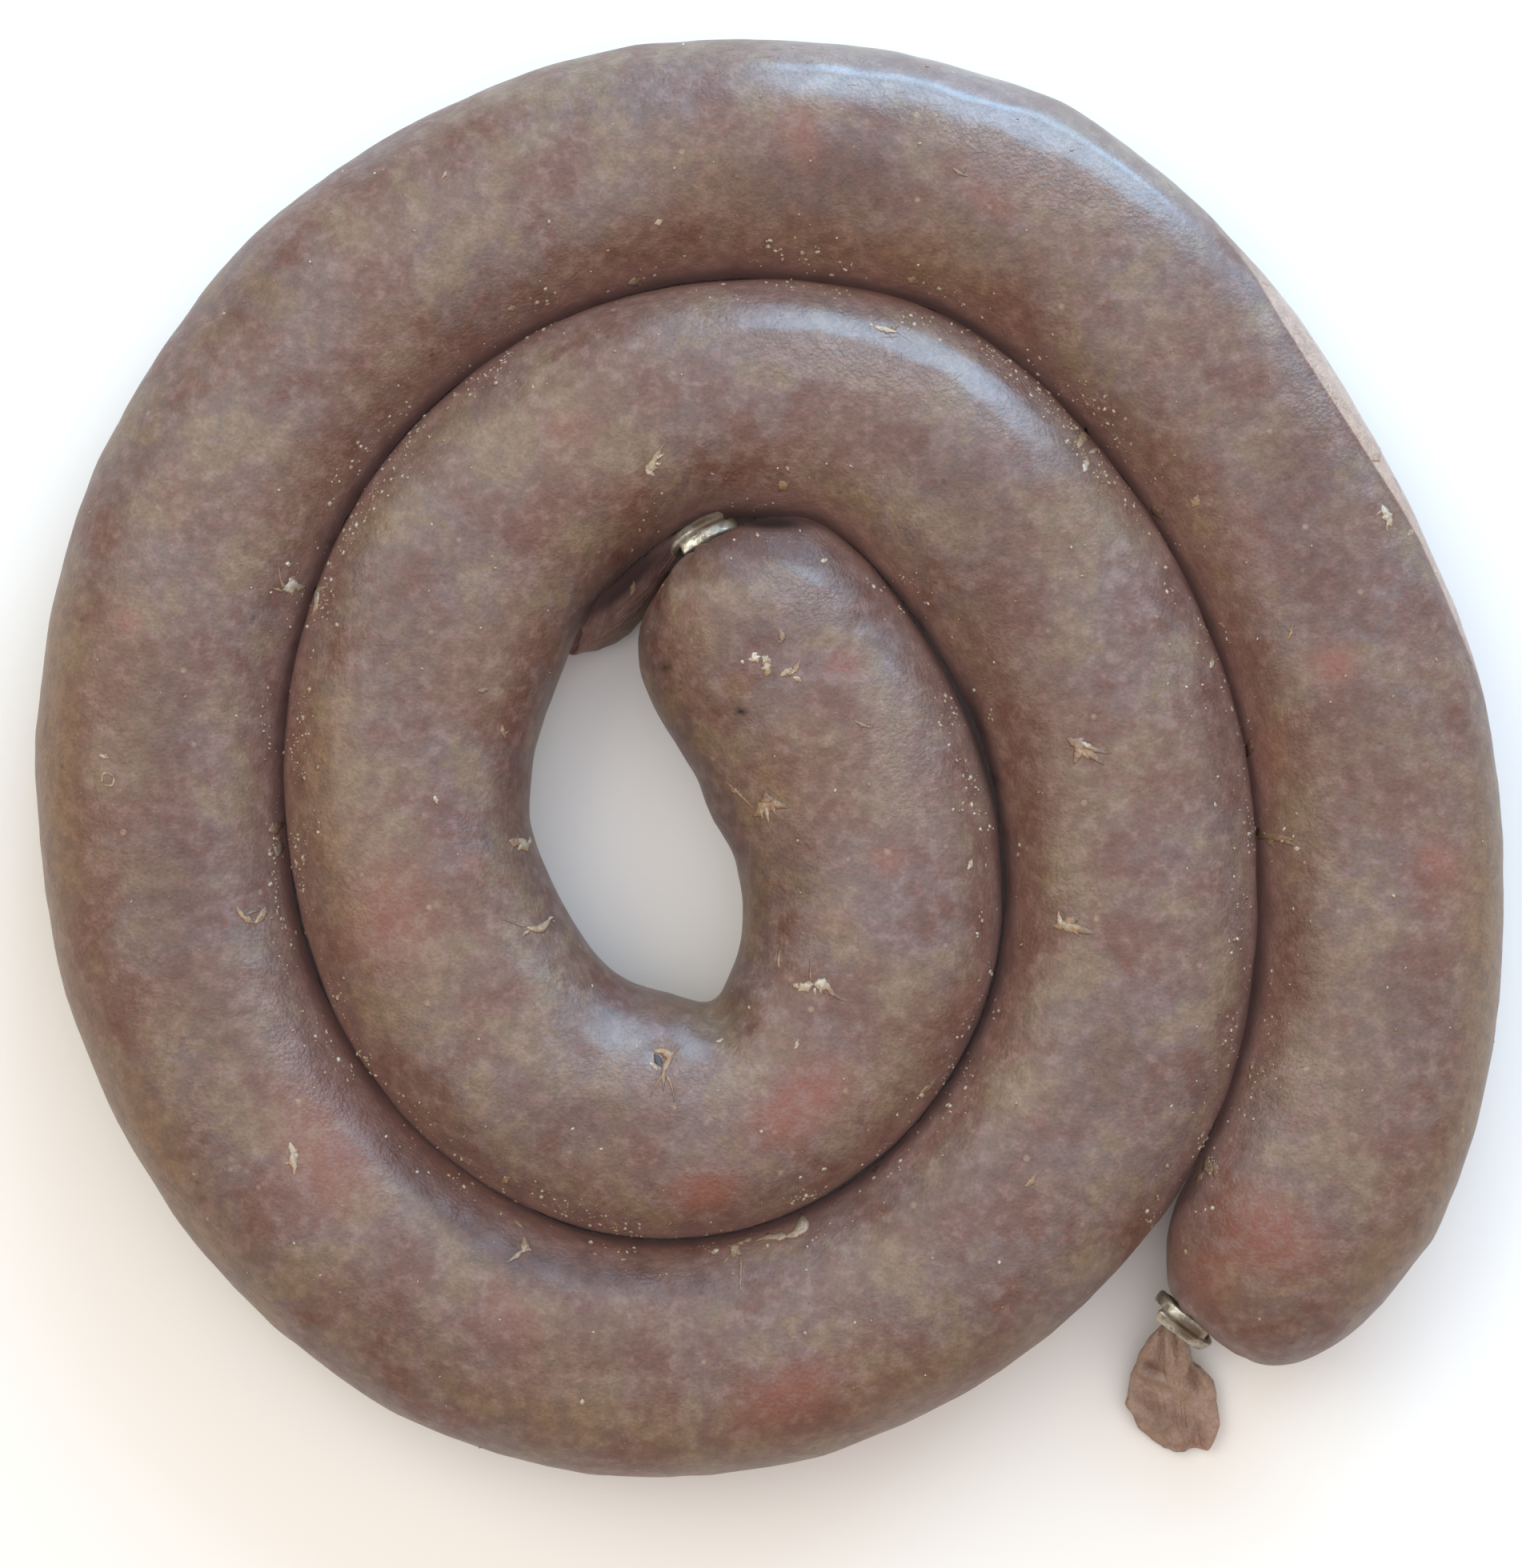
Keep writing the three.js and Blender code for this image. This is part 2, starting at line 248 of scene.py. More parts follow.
class Paint:
    """A material's nodes, added one after another."""

    def __init__(self, name: str) -> None:
        """Starts a material.

        Args:
            name: The material's name.
        """
        self.material = bpy.data.materials.new(name)
        self.material.use_nodes = True
        self.tree = self.material.node_tree
        self.shader = self.tree.nodes["Principled BSDF"]
        self.read: dict[str, Socket] = {}  # what has been read from the mesh, so that each is read once

    def put(self, socket: Socket, value: object) -> None:
        """Links a socket to value if that is one too, and otherwise sets it.

        Args:
            socket: The input.
            value: A number, a colour, or another node's output.
        """
        if isinstance(value, Socket):
            self.tree.links.new(value, socket)
        elif isinstance(value, tuple) and len(value) == 3 and socket.type == "RGBA":
            socket.default_value = (*value, 1)
        else:
            socket.default_value = value

    def add(self, kind: str, inputs: dict | None = None, **settings: object) -> bpy.types.Node:
        """Adds a node.

        Args:
            kind: Its type, without the leading ShaderNode.
            inputs: What goes into its sockets, by name or number.
            **settings: Its own settings.

        Returns:
            The node.
        """
        node = self.tree.nodes.new("ShaderNode" + kind)
        for name, value in settings.items():
            setattr(node, name, value)
        for key, value in (inputs or {}).items():
            self.put(node.inputs[key], value)
        return node

    def set(self, **values: object) -> None:
        """Sets or links the shader's own sockets, with _ for a space in their names."""
        for name, value in values.items():
            self.put(self.shader.inputs[name.replace("_", " ")], value)

    def here(self) -> Socket:
        """The place in the part's own frame, in metres."""
        if "" not in self.read:
            self.read[""] = self.add("TexCoord").outputs["Object"]
        return self.read[""]

    def kept(self, name: str) -> Socket:
        """A number kept for each vertex."""
        if name not in self.read:
            self.read[name] = self.add("Attribute", attribute_name=name).outputs["Fac"]
        return self.read[name]

    def kept_place(self, name: str) -> Socket:
        """A triple of numbers kept for each vertex."""
        return self.add("Attribute", attribute_name=name).outputs["Vector"]

    def stretched(self, place: Socket, scale: Triple, shift: float = 0) -> Socket:
        """A place, scaled along each axis and shifted."""
        inputs = {"Vector": place, "Scale": scale, "Location": (shift, shift * 0.7, shift * 1.3)}
        return self.add("Mapping", inputs).outputs["Vector"]

    def noise(self, place: Socket, size: float, detail: float = 0, roughness: float = 0.5) -> Socket:
        """Cloudy noise from 0 to 1 with lumps of about that size, in metres."""
        inputs = {"Vector": place, "Scale": 1 / size, "Detail": detail, "Roughness": roughness}
        return self.add("TexNoise", inputs).outputs["Fac"]

    def spots(self, place: Socket, size: float) -> bpy.types.Node:
        """Cells of about that size, in metres, with the distance to the middle of each."""
        return self.add("TexVoronoi", {"Vector": place, "Scale": 1 / size})

    def step(
        self, value: Socket, low: float, high: float, start: float = 0, end: float = 1
    ) -> Socket:
        """A smooth step of value from low to high, to a number from start to end."""
        inputs = {0: value, 1: low, 2: high, 3: start, 4: end}
        return self.add("MapRange", inputs, interpolation_type="SMOOTHSTEP").outputs[0]

    def maths(self, operation: str, a: object, b: object) -> Socket:
        """A sum on two values."""
        return self.add("Math", {0: a, 1: b}, operation=operation).outputs[0]

    def product(self, *factors: object) -> Socket:
        """Values times one another.

        Args:
            *factors: Numbers or sockets.

        Returns:
            The socket that gives the product.
        """
        found, *others = factors
        for factor in others:
            found = self.maths("MULTIPLY", found, factor)
        return found

    def mixed(self, share: object, a: object, b: object, blend: str = "MIX") -> Socket:
        """One colour turning into another as share goes from 0 to 1.

        Args:
            share: A number or a socket.
            a: The colour at 0.
            b: The colour at 1.
            blend: Blender's name for how they mix.

        Returns:
            The socket that gives the colour.
        """
        node = self.add("Mix", data_type="RGBA", blend_type=blend, clamp_factor=True)
        for name, value in (("Factor", share), ("A", a), ("B", b)):
            self.put(node.inputs[name], value)
        return node.outputs["Result"]

    def shaded(self, colour: Socket, value: Socket, spread: Range) -> Socket:
        """A colour made darker where value is low and lighter where it is high."""
        level = self.step(value, 0.30, 0.70, *spread)
        grey = self.add("CombineColor", {0: level, 1: level, 2: level}).outputs[0]
        return self.mixed(1.0, colour, grey, "MULTIPLY")

    def channels(self, colour: Socket) -> list[Socket]:
        """The red, green and blue of a colour."""
        return [*self.add("SeparateColor", {0: colour}).outputs]

    def total(self, *parts: tuple[Socket, float]) -> Socket:
        """The sum of some values, each times its own weight.

        Args:
            *parts: Each value and its weight.

        Returns:
            The socket that gives the sum.
        """
        found: Socket | float = 0.0
        for value, weight in parts:
            found = self.add("Math", {0: value, 1: weight, 2: found}, operation="MULTIPLY_ADD").outputs[0]
        return found

    def ramp(self, value: Socket, *stops: tuple[float, Triple]) -> Socket:
        """Colours that follow one another as value goes from 0 to 1.

        Args:
            value: The number.
            *stops: Each place and its colour, the first and the last before the others.

        Returns:
            The socket that gives the colour.
        """
        node = self.add("ValToRGB", {0: value})
        elements = node.color_ramp.elements
        for number, (at, colour) in enumerate(stops):
            element = elements[number] if number < 2 else elements.new(at)
            element.position, element.color = at, (*colour, 1)
        return node.outputs["Color"]

    def bump(self, height: Socket, depth: float) -> Socket:
        """Relief of that depth, in metres."""
        return self.add("Bump", {"Height": height, "Distance": depth, "Strength": 1.0}).outputs["Normal"]


@dataclass(frozen=True)
class CasingFinish:
    """Moist natural casing with the cooked filling showing through."""

    brown: Triple = (0.140, 0.073, 0.052)
    mauve: Triple = (0.134, 0.085, 0.078)
    umber: Triple = (0.116, 0.046, 0.034)
    # painted light: lighter and redder near the seams, standing in for light that gets into them through
    # the skin
    seam: Triple = (0.215, 0.115, 0.092)
    # painted glow: the skin emits a little light where two turns touch
    glow: Triple = (0.034, 0.020, 0.019)  # light that comes through the skin where two turns meet
    olive: Triple = (0.168, 0.112, 0.072)
    # ochre tone in places, and painted warm light along the outer rims
    rust_and_painted_rim_light: Triple = (0.165, 0.098, 0.055)
    # darker tone in places, and painted shade where the skin lies in shadow
    dark_tone_and_painted_shade: Triple = (0.092, 0.042, 0.032)
    # a pale film in places, and a painted highlight where the skin shines
    film_and_painted_sheen: Triple = (0.185, 0.132, 0.125)
    red: Triple = (0.205, 0.074, 0.054)
    fat: Triple = (0.36, 0.26, 0.17)
    pepper: Triple = (0.020, 0.016, 0.017)
    dry: Triple = (0.290, 0.195, 0.152)
    # painted shade in the grooves of the tail's folds
    fold: Triple = (0.085, 0.040, 0.028)
    # painted shade: near-black in the deep crevices
    hollow_painted_shade: Triple = (0.012, 0.009, 0.008)
    pressed: Triple = (0.34, 0.23, 0.18)
    roughness: Range = (0.46, 0.60)
    # Each layer's size; that of the specks is the cell that holds one of them.
    blotch_size: float = 10 * MM
    mottle_size: float = 2.1 * MM
    grain_size: float = 0.45 * MM
    speck_size: float = 5 * MM
    slack_size: float = 2.8 * MM
    crinkle_size: float = 0.65 * MM
    wet_size: float = 4 * MM
    # How much each shows, from 0 to 1.
    blotched: float = 0.80
    mottled: float = 0.40
    # how much the painted highlight lightens the skin where it shines
    painted_sheen_highlight: float = 0.45
    specked: float = 0.45
    # how dark the painted shade in the crease along the pressed side is
    painted_crease_shade: float = 0.55
    # Darkest and lightest, as a share of the colour below.
    mottle_spread: Range = (0.85, 1.15)
    grain_spread: Range = (0.92, 1.08)
    # Heights in millimetres.
    slack: float = 0.24
    crinkle: float = 0.14
    glitter: float = 0.36

    def colour(self, paint: Paint) -> Socket:
        """The casing's colour.

        Args:
            paint: The material's nodes.

        Returns:
            The socket that gives the colour.
        """
        here = paint.here()
        blotch = paint.noise(here, self.blotch_size, 3, 0.68)
        mottle = paint.noise(here, self.mottle_size, 2, 0.6)
        blush = paint.product(paint.kept("blush"), paint.step(mottle, 0.62, 0.36, 0.45, 1.15))
        ochre_and_painted_rim_light = paint.product(paint.kept("ochre_and_painted_rim_light"), paint.step(mottle, 0.25, 0.65, 0.6, 1.1))
        colour: Socket | Triple = self.brown
        for share, tint in (
            (paint.kept("cloud"), self.mauve),
            (paint.step(blotch, 0.50, 0.64, 0, self.blotched), self.umber),
            (paint.step(blotch, 0.50, 0.37, 0, self.blotched), self.olive),
            (paint.step(mottle, 0.50, 0.75, 0, self.mottled), self.film_and_painted_sheen),
            # painted highlight where the skin shines
            (paint.product(paint.kept("sheen"), self.painted_sheen_highlight), self.film_and_painted_sheen),
            (paint.kept("dry"), self.dry),
            # painted shade in the grooves of the tail's folds
            (paint.kept("fold"), self.fold),
            # darker tone in places, and painted shade where the skin lies in shadow
            (paint.kept("dark_tone_and_painted_shade"), self.dark_tone_and_painted_shade),
            (blush, self.red),
            # ochre tone in places, and painted warm light along the outer rims
            (ochre_and_painted_rim_light, self.rust_and_painted_rim_light),
            # painted light: lighter and redder near the seams
            (paint.kept("seam_painted_light"), self.seam),
            self.specks(paint, here, mottle),
            *self.flank(paint),
        ):
            colour = paint.mixed(share, colour, tint)
        colour = paint.shaded(colour, mottle, self.mottle_spread)
        colour = paint.shaded(colour, paint.noise(here, self.grain_size), self.grain_spread)
        # painted shade: near-black in the deep crevices
        return paint.mixed(paint.kept("hollow_painted_shade"), colour, self.hollow_painted_shade)

    def flank(self, paint: Paint) -> tuple[tuple[Socket, Triple], tuple[Socket, Triple]]:
        """The paler side that is pressed flat, and a painted shade line in the crease at its edge.

        Args:
            paint: The material's nodes.

        Returns:
            The share and the colour of each.
        """
        past, flank = paint.kept("ledge"), paint.kept("flank")
        pressed = paint.product(paint.step(past, -0.1 * MM, 0.25 * MM), flank)
        before = paint.step(past, -1.1 * MM, -0.1 * MM)
        # painted shade in the crease along the ledge
        line = paint.product(before, flank, paint.step(past, 0.15 * MM, -0.1 * MM, 0, self.painted_crease_shade))
        return (pressed, self.pressed), (line, self.umber)

    def specks(self, paint: Paint, here: Socket, mottle: Socket) -> tuple[Socket, Socket]:
        """Grains of pepper and bits of fat below the skin.

        Args:
            paint: The material's nodes.
            here: The place on the part.
            mottle: Fine noise, to make their outlines uneven.

        Returns:
            How much of them shows, and their colour.
        """
        cells = paint.spots(here, self.speck_size)
        distance = paint.total((cells.outputs["Distance"], 1.0), (mottle, 0.10))
        chance, _, kind = paint.channels(cells.outputs["Color"])
        some = paint.maths("LESS_THAN", chance, 0.5)
        share = paint.product(paint.step(distance, 0.17, 0.09), some, self.specked)
        return share, paint.mixed(paint.maths("LESS_THAN", kind, 0.45), self.pepper, self.fat)

    def relief(self, paint: Paint) -> Socket:
        """The fine wrinkles of the skin.

        Args:
            paint: The material's nodes.

        Returns:
            The socket that gives the surface's direction.
        """
        crinkle = paint.noise(paint.here(), self.crinkle_size, 1, 0.7)
        tube = paint.stretched(paint.kept_place("tube"), (1, 0.8, 0.8), 3.0)
        slack = paint.noise(tube, self.slack_size)
        glitter = paint.product(crinkle, paint.kept("sheen"))
        height = paint.total((slack, self.slack), (crinkle, self.crinkle), (glitter, self.glitter))
        return paint.bump(height, 1 * MM)

    def material(self) -> bpy.types.Material:
        """Makes the material.

        Returns:
            The material.
        """
        paint = Paint("casing_skin")
        wet = paint.noise(paint.here(), self.wet_size)
        sheen, hollow_painted_shade, dark_tone_and_painted_shade = (paint.kept(name) for name in ("sheen", "hollow_painted_shade", "dark_tone_and_painted_shade"))
        paint.set(
            Base_Color=self.colour(paint),
            Roughness=paint.step(wet, 0.3, 0.7, *self.roughness),
            # the painted shade of crevices and shadowed patches loses its gloss too
            Specular_IOR_Level=paint.step(hollow_painted_shade, 0, 1, 0.5, 0.03),
            Normal=self.relief(paint),
            Coat_Weight=paint.total((sheen, 0.8), (wet, 0.60), (hollow_painted_shade, -0.9), (dark_tone_and_painted_shade, -0.5)),
            Coat_Roughness=paint.step(sheen, 0, 1, 0.38, 0.21),
            Emission_Color=self.glow,
            Emission_Strength=paint.kept("glow"),
        )
        paint.material.cycles.emission_sampling = "NONE"
        return paint.material


@dataclass(frozen=True)
class WireFinish:
    """Soft dull wire, scratched by the clipping tool and smeared by the filling; painted shade darkens it
    by the necks.
    """

    bright: Triple = (0.66, 0.63, 0.56)
    dull: Triple = (0.30, 0.285, 0.24)
    # the colour of smears, also used for painted shade beside the necks
    smear_and_painted_shade: Triple = (0.12, 0.085, 0.055)

    def material(self) -> bpy.types.Material:
        """Makes the material.

        Returns:
            The material.
        """
        paint = Paint("clip_wire_metal")
        here = paint.here()
        worn = paint.noise(here, 1.3 * MM, detail=3, roughness=0.65)
        dirt = paint.noise(here, 2.6 * MM, detail=3, roughness=0.7)
        colour = paint.mixed(paint.step(worn, 0.35, 0.6), self.dull, self.bright)
        # smears of filling, and painted shade beside the neck
        grime_and_painted_shade = paint.maths("MAXIMUM", paint.step(dirt, 0.54, 0.68, 0, 0.85), paint.kept("grime_and_painted_shade"))
        colour = paint.mixed(grime_and_painted_shade, colour, self.smear_and_painted_shade)
        paint.set(
            Base_Color=colour,
            Metallic=paint.step(grime_and_painted_shade, 0.8, 0.1, 0.1, 0.85),
            Roughness=paint.step(worn, 0.3, 0.7, 0.5, 0.3),
            Normal=paint.bump(worn, 0.16 * MM),
        )
        return paint.material


@dataclass(frozen=True)
class BitFinish:
    """Small loose things, each coloured by its tone: dark at 0, like the skin, tan, then cream at 1."""

    name: str
    dark: Triple = (0.030, 0.014, 0.011)
    skin: Triple = (0.140, 0.080, 0.062)
    tan: Triple = (0.292, 0.190, 0.114)
    cream: Triple = (0.500, 0.450, 0.385)
    roughness: float = 0.5
    grain: float = 0.5 * MM
    spread: Range = (0.72, 1.15)  # darkest and lightest, as a share of the tone's colour

    def material(self) -> bpy.types.Material:
        """Makes the material.

        Returns:
            The material.
        """
        paint = Paint(self.name)
        uneven = paint.noise(paint.here(), self.grain, detail=2, roughness=0.6)
        tone = paint.kept("tone")
        colour = paint.ramp(tone, (0.0, self.dark), (1.0, self.cream), (0.3, self.skin), (0.62, self.tan))
        paint.set(
            Base_Color=paint.shaded(colour, uneven, self.spread),
            Roughness=self.roughness,
            Normal=paint.bump(uneven, 0.10 * MM),
            Coat_Weight=0.3,
            Coat_Roughness=0.25,
        )
        return paint.material


@dataclass(frozen=True)
class TableFinish:
    """A plain pale table."""

    pale: Triple = (0.80, 0.80, 0.80)
    roughness: float = 0.7

    def material(self) -> bpy.types.Material:
        """Makes the material.

        Returns:
            The material.
        """
        paint = Paint("pale_table")
        paint.set(Base_Color=self.pale, Roughness=self.roughness, Specular_IOR_Level=0.2)
        return paint.material


# ---- The photograph's view -----------------------------------------------------------------------


@dataclass
class View:
    """The camera: straight above the coil, as in the photograph."""

    image: tuple[int, int] = (1902, 1960)
    pixel: float = 0.118 * MM  # on the plane at the height where the sausage is widest
    plane: float = 15.4 * MM
    centre: tuple[float, float] = (-1.19 * MM, -3.75 * MM)
    distance: float = 700 * MM
    sensor: float = 36.0  # millimetres
    clip: Range = (0.01, 10)

    @property
    def eye(self) -> Vector:
        """Where the camera is."""
        return Vector((*self.centre, self.plane + self.distance))

    def ray(self, pixel: Pixel) -> Vector:
        """The way from the camera through a pixel of the photograph."""
        across = (pixel[0] - self.image[0] / 2) * self.pixel
        up = (self.image[1] / 2 - pixel[1]) * self.pixel
        return Vector((across, up, -self.distance)).normalized()

    def pixels(self, points: np.ndarray) -> np.ndarray:
        """The pixels of the photograph at which points show, one row each."""
        eye = np.array(self.eye)
        flat = (points - eye)[:, :2] * (self.distance / (eye[2] - points[:, 2]))[:, None] / self.pixel
        return np.array(self.image) / 2 + flat * (1, -1)

    def build(self) -> bpy.types.Object:
        """Makes the camera.

        Returns:
            The camera.
        """
        data = bpy.data.cameras.new("camera")
        data.sensor_width = self.sensor
        data.lens = self.sensor * self.distance / (self.image[1] * self.pixel)
        data.clip_start, data.clip_end = self.clip
        camera = bpy.data.objects.new("camera", data)
        camera.location = self.eye
        bpy.context.scene.collection.objects.link(camera)
        bpy.context.scene.camera = camera
        return camera


# ---- The casing ----------------------------------------------------------------------------------


@dataclass
class Loft:
    """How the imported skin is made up: rings of points, from the inner tail's tip to the outer one's."""

    obj: bpy.types.Object
    rings: list[list[int]] = field(default_factory=list)

    def read(self) -> "Loft":
        """Finds the rings, and the order of the points in each, from the mesh alone.

        Returns:
            This object, with rings[i][j] the vertex in ring i and column j.
        """
        mesh = self.obj.data
        self.beside: list[set[int]] = [set() for _ in mesh.vertices]
        for edge in mesh.edges:
            a, b = edge.vertices
            self.beside[a].add(b)
            self.beside[b].add(a)
        start = self.first_ring()
        free = set().union(*(self.beside[v] for v in start)) - set(start)
        seed = next(iter(sorted(free)))
        one_side = self.linked({seed}, free)
        halves = [self.peel(start, one_side), self.peel(start, free - one_side)]
        # The half that ends nearer the eye comes first, turned round.
        halves.sort(key=lambda half: (mesh.vertices[half[-1][0]].co - EYE).length)
        self.rings = halves[0][::-1] + [start] + halves[1]
        if any(len(set(ring)) != SIDES for ring in self.rings):
            raise ValueError("the packed casing isn't made up of rings")
        return self

    def polar(self, v: int) -> tuple[float, float]:
        """A vertex's distance and direction from the middle of the eye."""
        place = self.obj.data.vertices[v].co - EYE
        return math.hypot(place.x, place.y), math.atan2(place.y, place.x)

    def first_ring(self) -> list[int]:
        """A ring in the outer turn, from its outermost point over the top and round.

        Returns:
            Its vertices, in order.
        """
        points = self.obj.data.vertices
        seed = min(range(len(points)), key=lambda v: points[v].co.x)
        same_plane = 2e-4
        level = {v for v in range(len(points)) if abs(self.polar(v)[1] - self.polar(seed)[1]) < same_plane}
        ring = self.linked({seed}, level)
        first = max(ring, key=lambda v: self.polar(v)[0])
        order = [first, max(self.beside[first] & ring, key=lambda v: points[v].co.z)]
        while len(order) < len(ring):
            order.append(next(iter((self.beside[order[-1]] & ring) - set(order))))
        return order

    def linked(self, start: set[int], among: set[int]) -> set[int]:
        """All of a set that can be reached from start by edges within it.

        Args:
            start: Vertices of the set.
            among: The set.

        Returns:
            The vertices that were reached.
        """
        found, edge = set(start), set(start)
        while edge:
            edge = (set().union(*(self.beside[v] for v in edge)) & among) - found
            found |= edge
        return found

    def peel(self, start: list[int], first: set[int]) -> list[list[int]]:
        """The rings that follow one another from a ring to the end of the skin.

        Args:
            start: The ring to start from, in order.
            first: The vertices of the next ring.

        Returns:
            The rings after start, each in the same order as start.
        """
        done, ring, layer, found, turn = set(start), start, set(first), [], 0
        while layer:
            orders = {}
            for side in (1, -1) if turn == 0 else (turn,):
                beside = [self.beside[ring[(j + side) % SIDES]] for j in range(SIDES)]
                order = [next(iter(self.beside[v] & near & layer)) for v, near in zip(ring, beside)]
                points = self.obj.data.vertices
                moved = sum((points[a].co - points[b].co).length for a, b in zip(ring, order))
                orders[side] = (moved, order)
            turn = min(orders, key=lambda side: orders[side][0])
            order = orders[turn][1]
            found.append(order)
            done |= layer
            ring, layer = order, set().union(*(self.beside[v] for v in layer)) - done
        return found

    def spare_edges(self) -> list[int]:
        """The edges that only cut the skin's four-sided faces in two.

        Returns:
            Their numbers.
        """
        place = {v: (i, j) for i, ring in enumerate(self.rings) for j, v in enumerate(ring)}
        spare = []
        for edge in self.obj.data.edges:
            (i, j), (k, m) = (place[v] for v in edge.vertices)
            along = i != k and j == m
            around = i == k and (j - m) % SIDES in (1, SIDES - 1)
            across_the_tip = i == k and (j + m) % SIDES == 0
            if not (along or around or across_the_tip):
                spare.append(edge.index)
        return spare


@dataclass(frozen=True)
class Line:
    """A line through pixels of the photograph."""

    through: tuple[Pixel, ...]

    def measured(self, seen: np.ndarray) -> tuple[np.ndarray, np.ndarray]:
        """Where points of the photograph lie beside the line.

        Args:
            seen: Pixels, one row each.

        Returns:
            The distance of each from the line, in pixels, which is above zero on its left as it runs,
            and how far along the line the nearest point is, from 0 to 1.
        """
        best = np.full(len(seen), 1e9)
        signed, along = best.copy(), np.zeros(len(seen))
        corners = np.array(self.through, float)
        lengths = np.linalg.norm(np.diff(corners, axis=0), axis=1)
        starts = np.concatenate([[0], np.cumsum(lengths)])
        for a, b, length, start in zip(corners[:-1], corners[1:], lengths, starts):
            way = (b - a) / length
            run = np.clip((seen - a) @ way, 0, length)
            away = seen - a - run[:, None] * way
            distance = np.linalg.norm(away, axis=1)
            side = np.where(away @ (way[1], -way[0]) > 0, 1, -1)
            nearer = distance < best
            best[nearer] = distance[nearer]
            signed[nearer] = (distance * side)[nearer]
            along[nearer] = ((start + run) / starts[-1])[nearer]
        return signed, along


@dataclass(frozen=True)
class Crease:
    """A ridge, a groove or the edge of a fold in the skin, with sizes in millimetres."""

    through: tuple[Pixel, ...]
    width: float
    height: float = 0  # below zero for a groove
    edge: float = 0  # how far the left side stands above the right one
    reach: float = 3  # how far that goes before it is level again

    def lift(self, seen: np.ndarray, view: View) -> np.ndarray:
        """How far the crease moves points that the photograph shows.

        Args:
            seen: The pixel of each point.
            view: The photograph's view.

        Returns:
            A distance in metres for each point, outwards.
        """
        signed, along = Line(self.through).measured(seen)
        off = signed * view.pixel / MM
        ends = smooth(-0.01, 0.22, along) * (1 - smooth(0.78, 1.01, along))
        profile = self.height * bell(off, 0, self.width)
        if self.edge:
            level = smooth(-self.width / 2, self.width / 2, off) * bell(np.maximum(off, 0), 0, self.reach)
            profile = profile + self.edge * level
        return profile * ends * MM


TAIL_CREASES = (
    Crease(((1448, 1655), (1450, 1680), (1444, 1706)), 0.45, -0.35),
    Crease(((1456, 1655), (1459, 1690), (1458, 1726)), 0.4, 0.45),
    Crease(((1464, 1655), (1469, 1682), (1472, 1716)), 0.4, -0.4),
    Crease(((1474, 1660), (1481, 1690), (1486, 1722)), 0.45, 0.4),
    Crease(((1484, 1664), (1493, 1684), (1497, 1706)), 0.4, -0.35),
    Crease(((1412, 1702), (1424, 1716), (1448, 1724), (1472, 1734), (1496, 1737)), 0.6, 0.5, 0.2, 2),
    Crease(((1424, 1704), (1440, 1712), (1462, 1722)), 0.9, -0.4),
    Crease(((1484, 1702), (1490, 1714), (1498, 1730), (1503, 1746)), 0.5, -0.55),
    Crease(((1492, 1704), (1502, 1722), (1509, 1744)), 0.7, 0.55),
    Crease(((1402, 1744), (1416, 1762), (1432, 1774), (1450, 1781), (1468, 1790)), 0.45, 0.7, 0.25, 2),
    Crease(((1412, 1746), (1430, 1762), (1452, 1772)), 1.0, -0.25),
    Crease(((1478, 1742), (1486, 1764), (1484, 1790)), 1.0, -0.2),
    Crease(((1498, 1750), (1500, 1774), (1508, 1796)), 0.7, 0.35),
    Crease(((1440, 1796), (1466, 1806), (1500, 1802)), 0.6, 0.35),
    Crease(((1456, 1740), (1460, 1758), (1470, 1776)), 0.6, 0.3),
    Crease(((728, 762), (716, 784), (704, 806)), 0.5, 0.35),
    Crease(((744, 756), (734, 782), (722, 808)), 0.5, -0.35),
    Crease(((760, 752), (752, 776), (742, 802)), 0.5, 0.4),
    Crease(((774, 756), (768, 776), (760, 796)), 0.5, -0.3),
    Crease(((790, 720), (762, 738), (736, 760)), 0.5, 0.35),
    Crease(((806, 712), (780, 736), (758, 760)), 0.5, -0.35),
)
BODY_CREASES = (
    Crease(((893, 1256), (902, 1278), (918, 1302)), 2.2, -0.75),
    Crease(((882, 1254), (884, 1276), (876, 1300)), 2.0, -0.5),
    Crease(((866, 1250), (858, 1270), (846, 1288)), 1.8, 0.3),
    Crease(((904, 1244), (920, 1262), (944, 1282)), 2.0, -0.55),
    Crease(((914, 1226), (936, 1240), (962, 1252)), 1.9, 0.3),
    Crease(((918, 1206), (942, 1216), (966, 1220)), 1.8, -0.3),
    Crease(((844, 1240), (832, 1258), (818, 1272)), 1.8, -0.25),
    Crease(((1490, 1640), (1510, 1620), (1540, 1606)), 1.9, -0.4),
    Crease(((1500, 1652), (1530, 1640), (1566, 1634)), 1.9, -0.35),
    Crease(((1508, 1668), (1540, 1668), (1572, 1664)), 1.9, 0.3),
    Crease(((1478, 1622), (1488, 1600), (1504, 1580)), 1.9, -0.35),
    Crease(((868, 700), (876, 722), (880, 750)), 1.9, -0.35),
    Crease(((890, 690), (904, 714), (912, 742)), 1.8, 0.25),
    Crease(((846, 704), (846, 730), (838, 756)), 1.8, 0.25),
    Crease(((918, 680), (938, 700), (952, 722)), 1.9, -0.3),
    Crease(((1600, 755), (1660, 742), (1720, 725)), 1.8, -0.12),
    Crease(((820, 1300), (826, 1318), (822, 1336)), 1.9, -0.45),
)
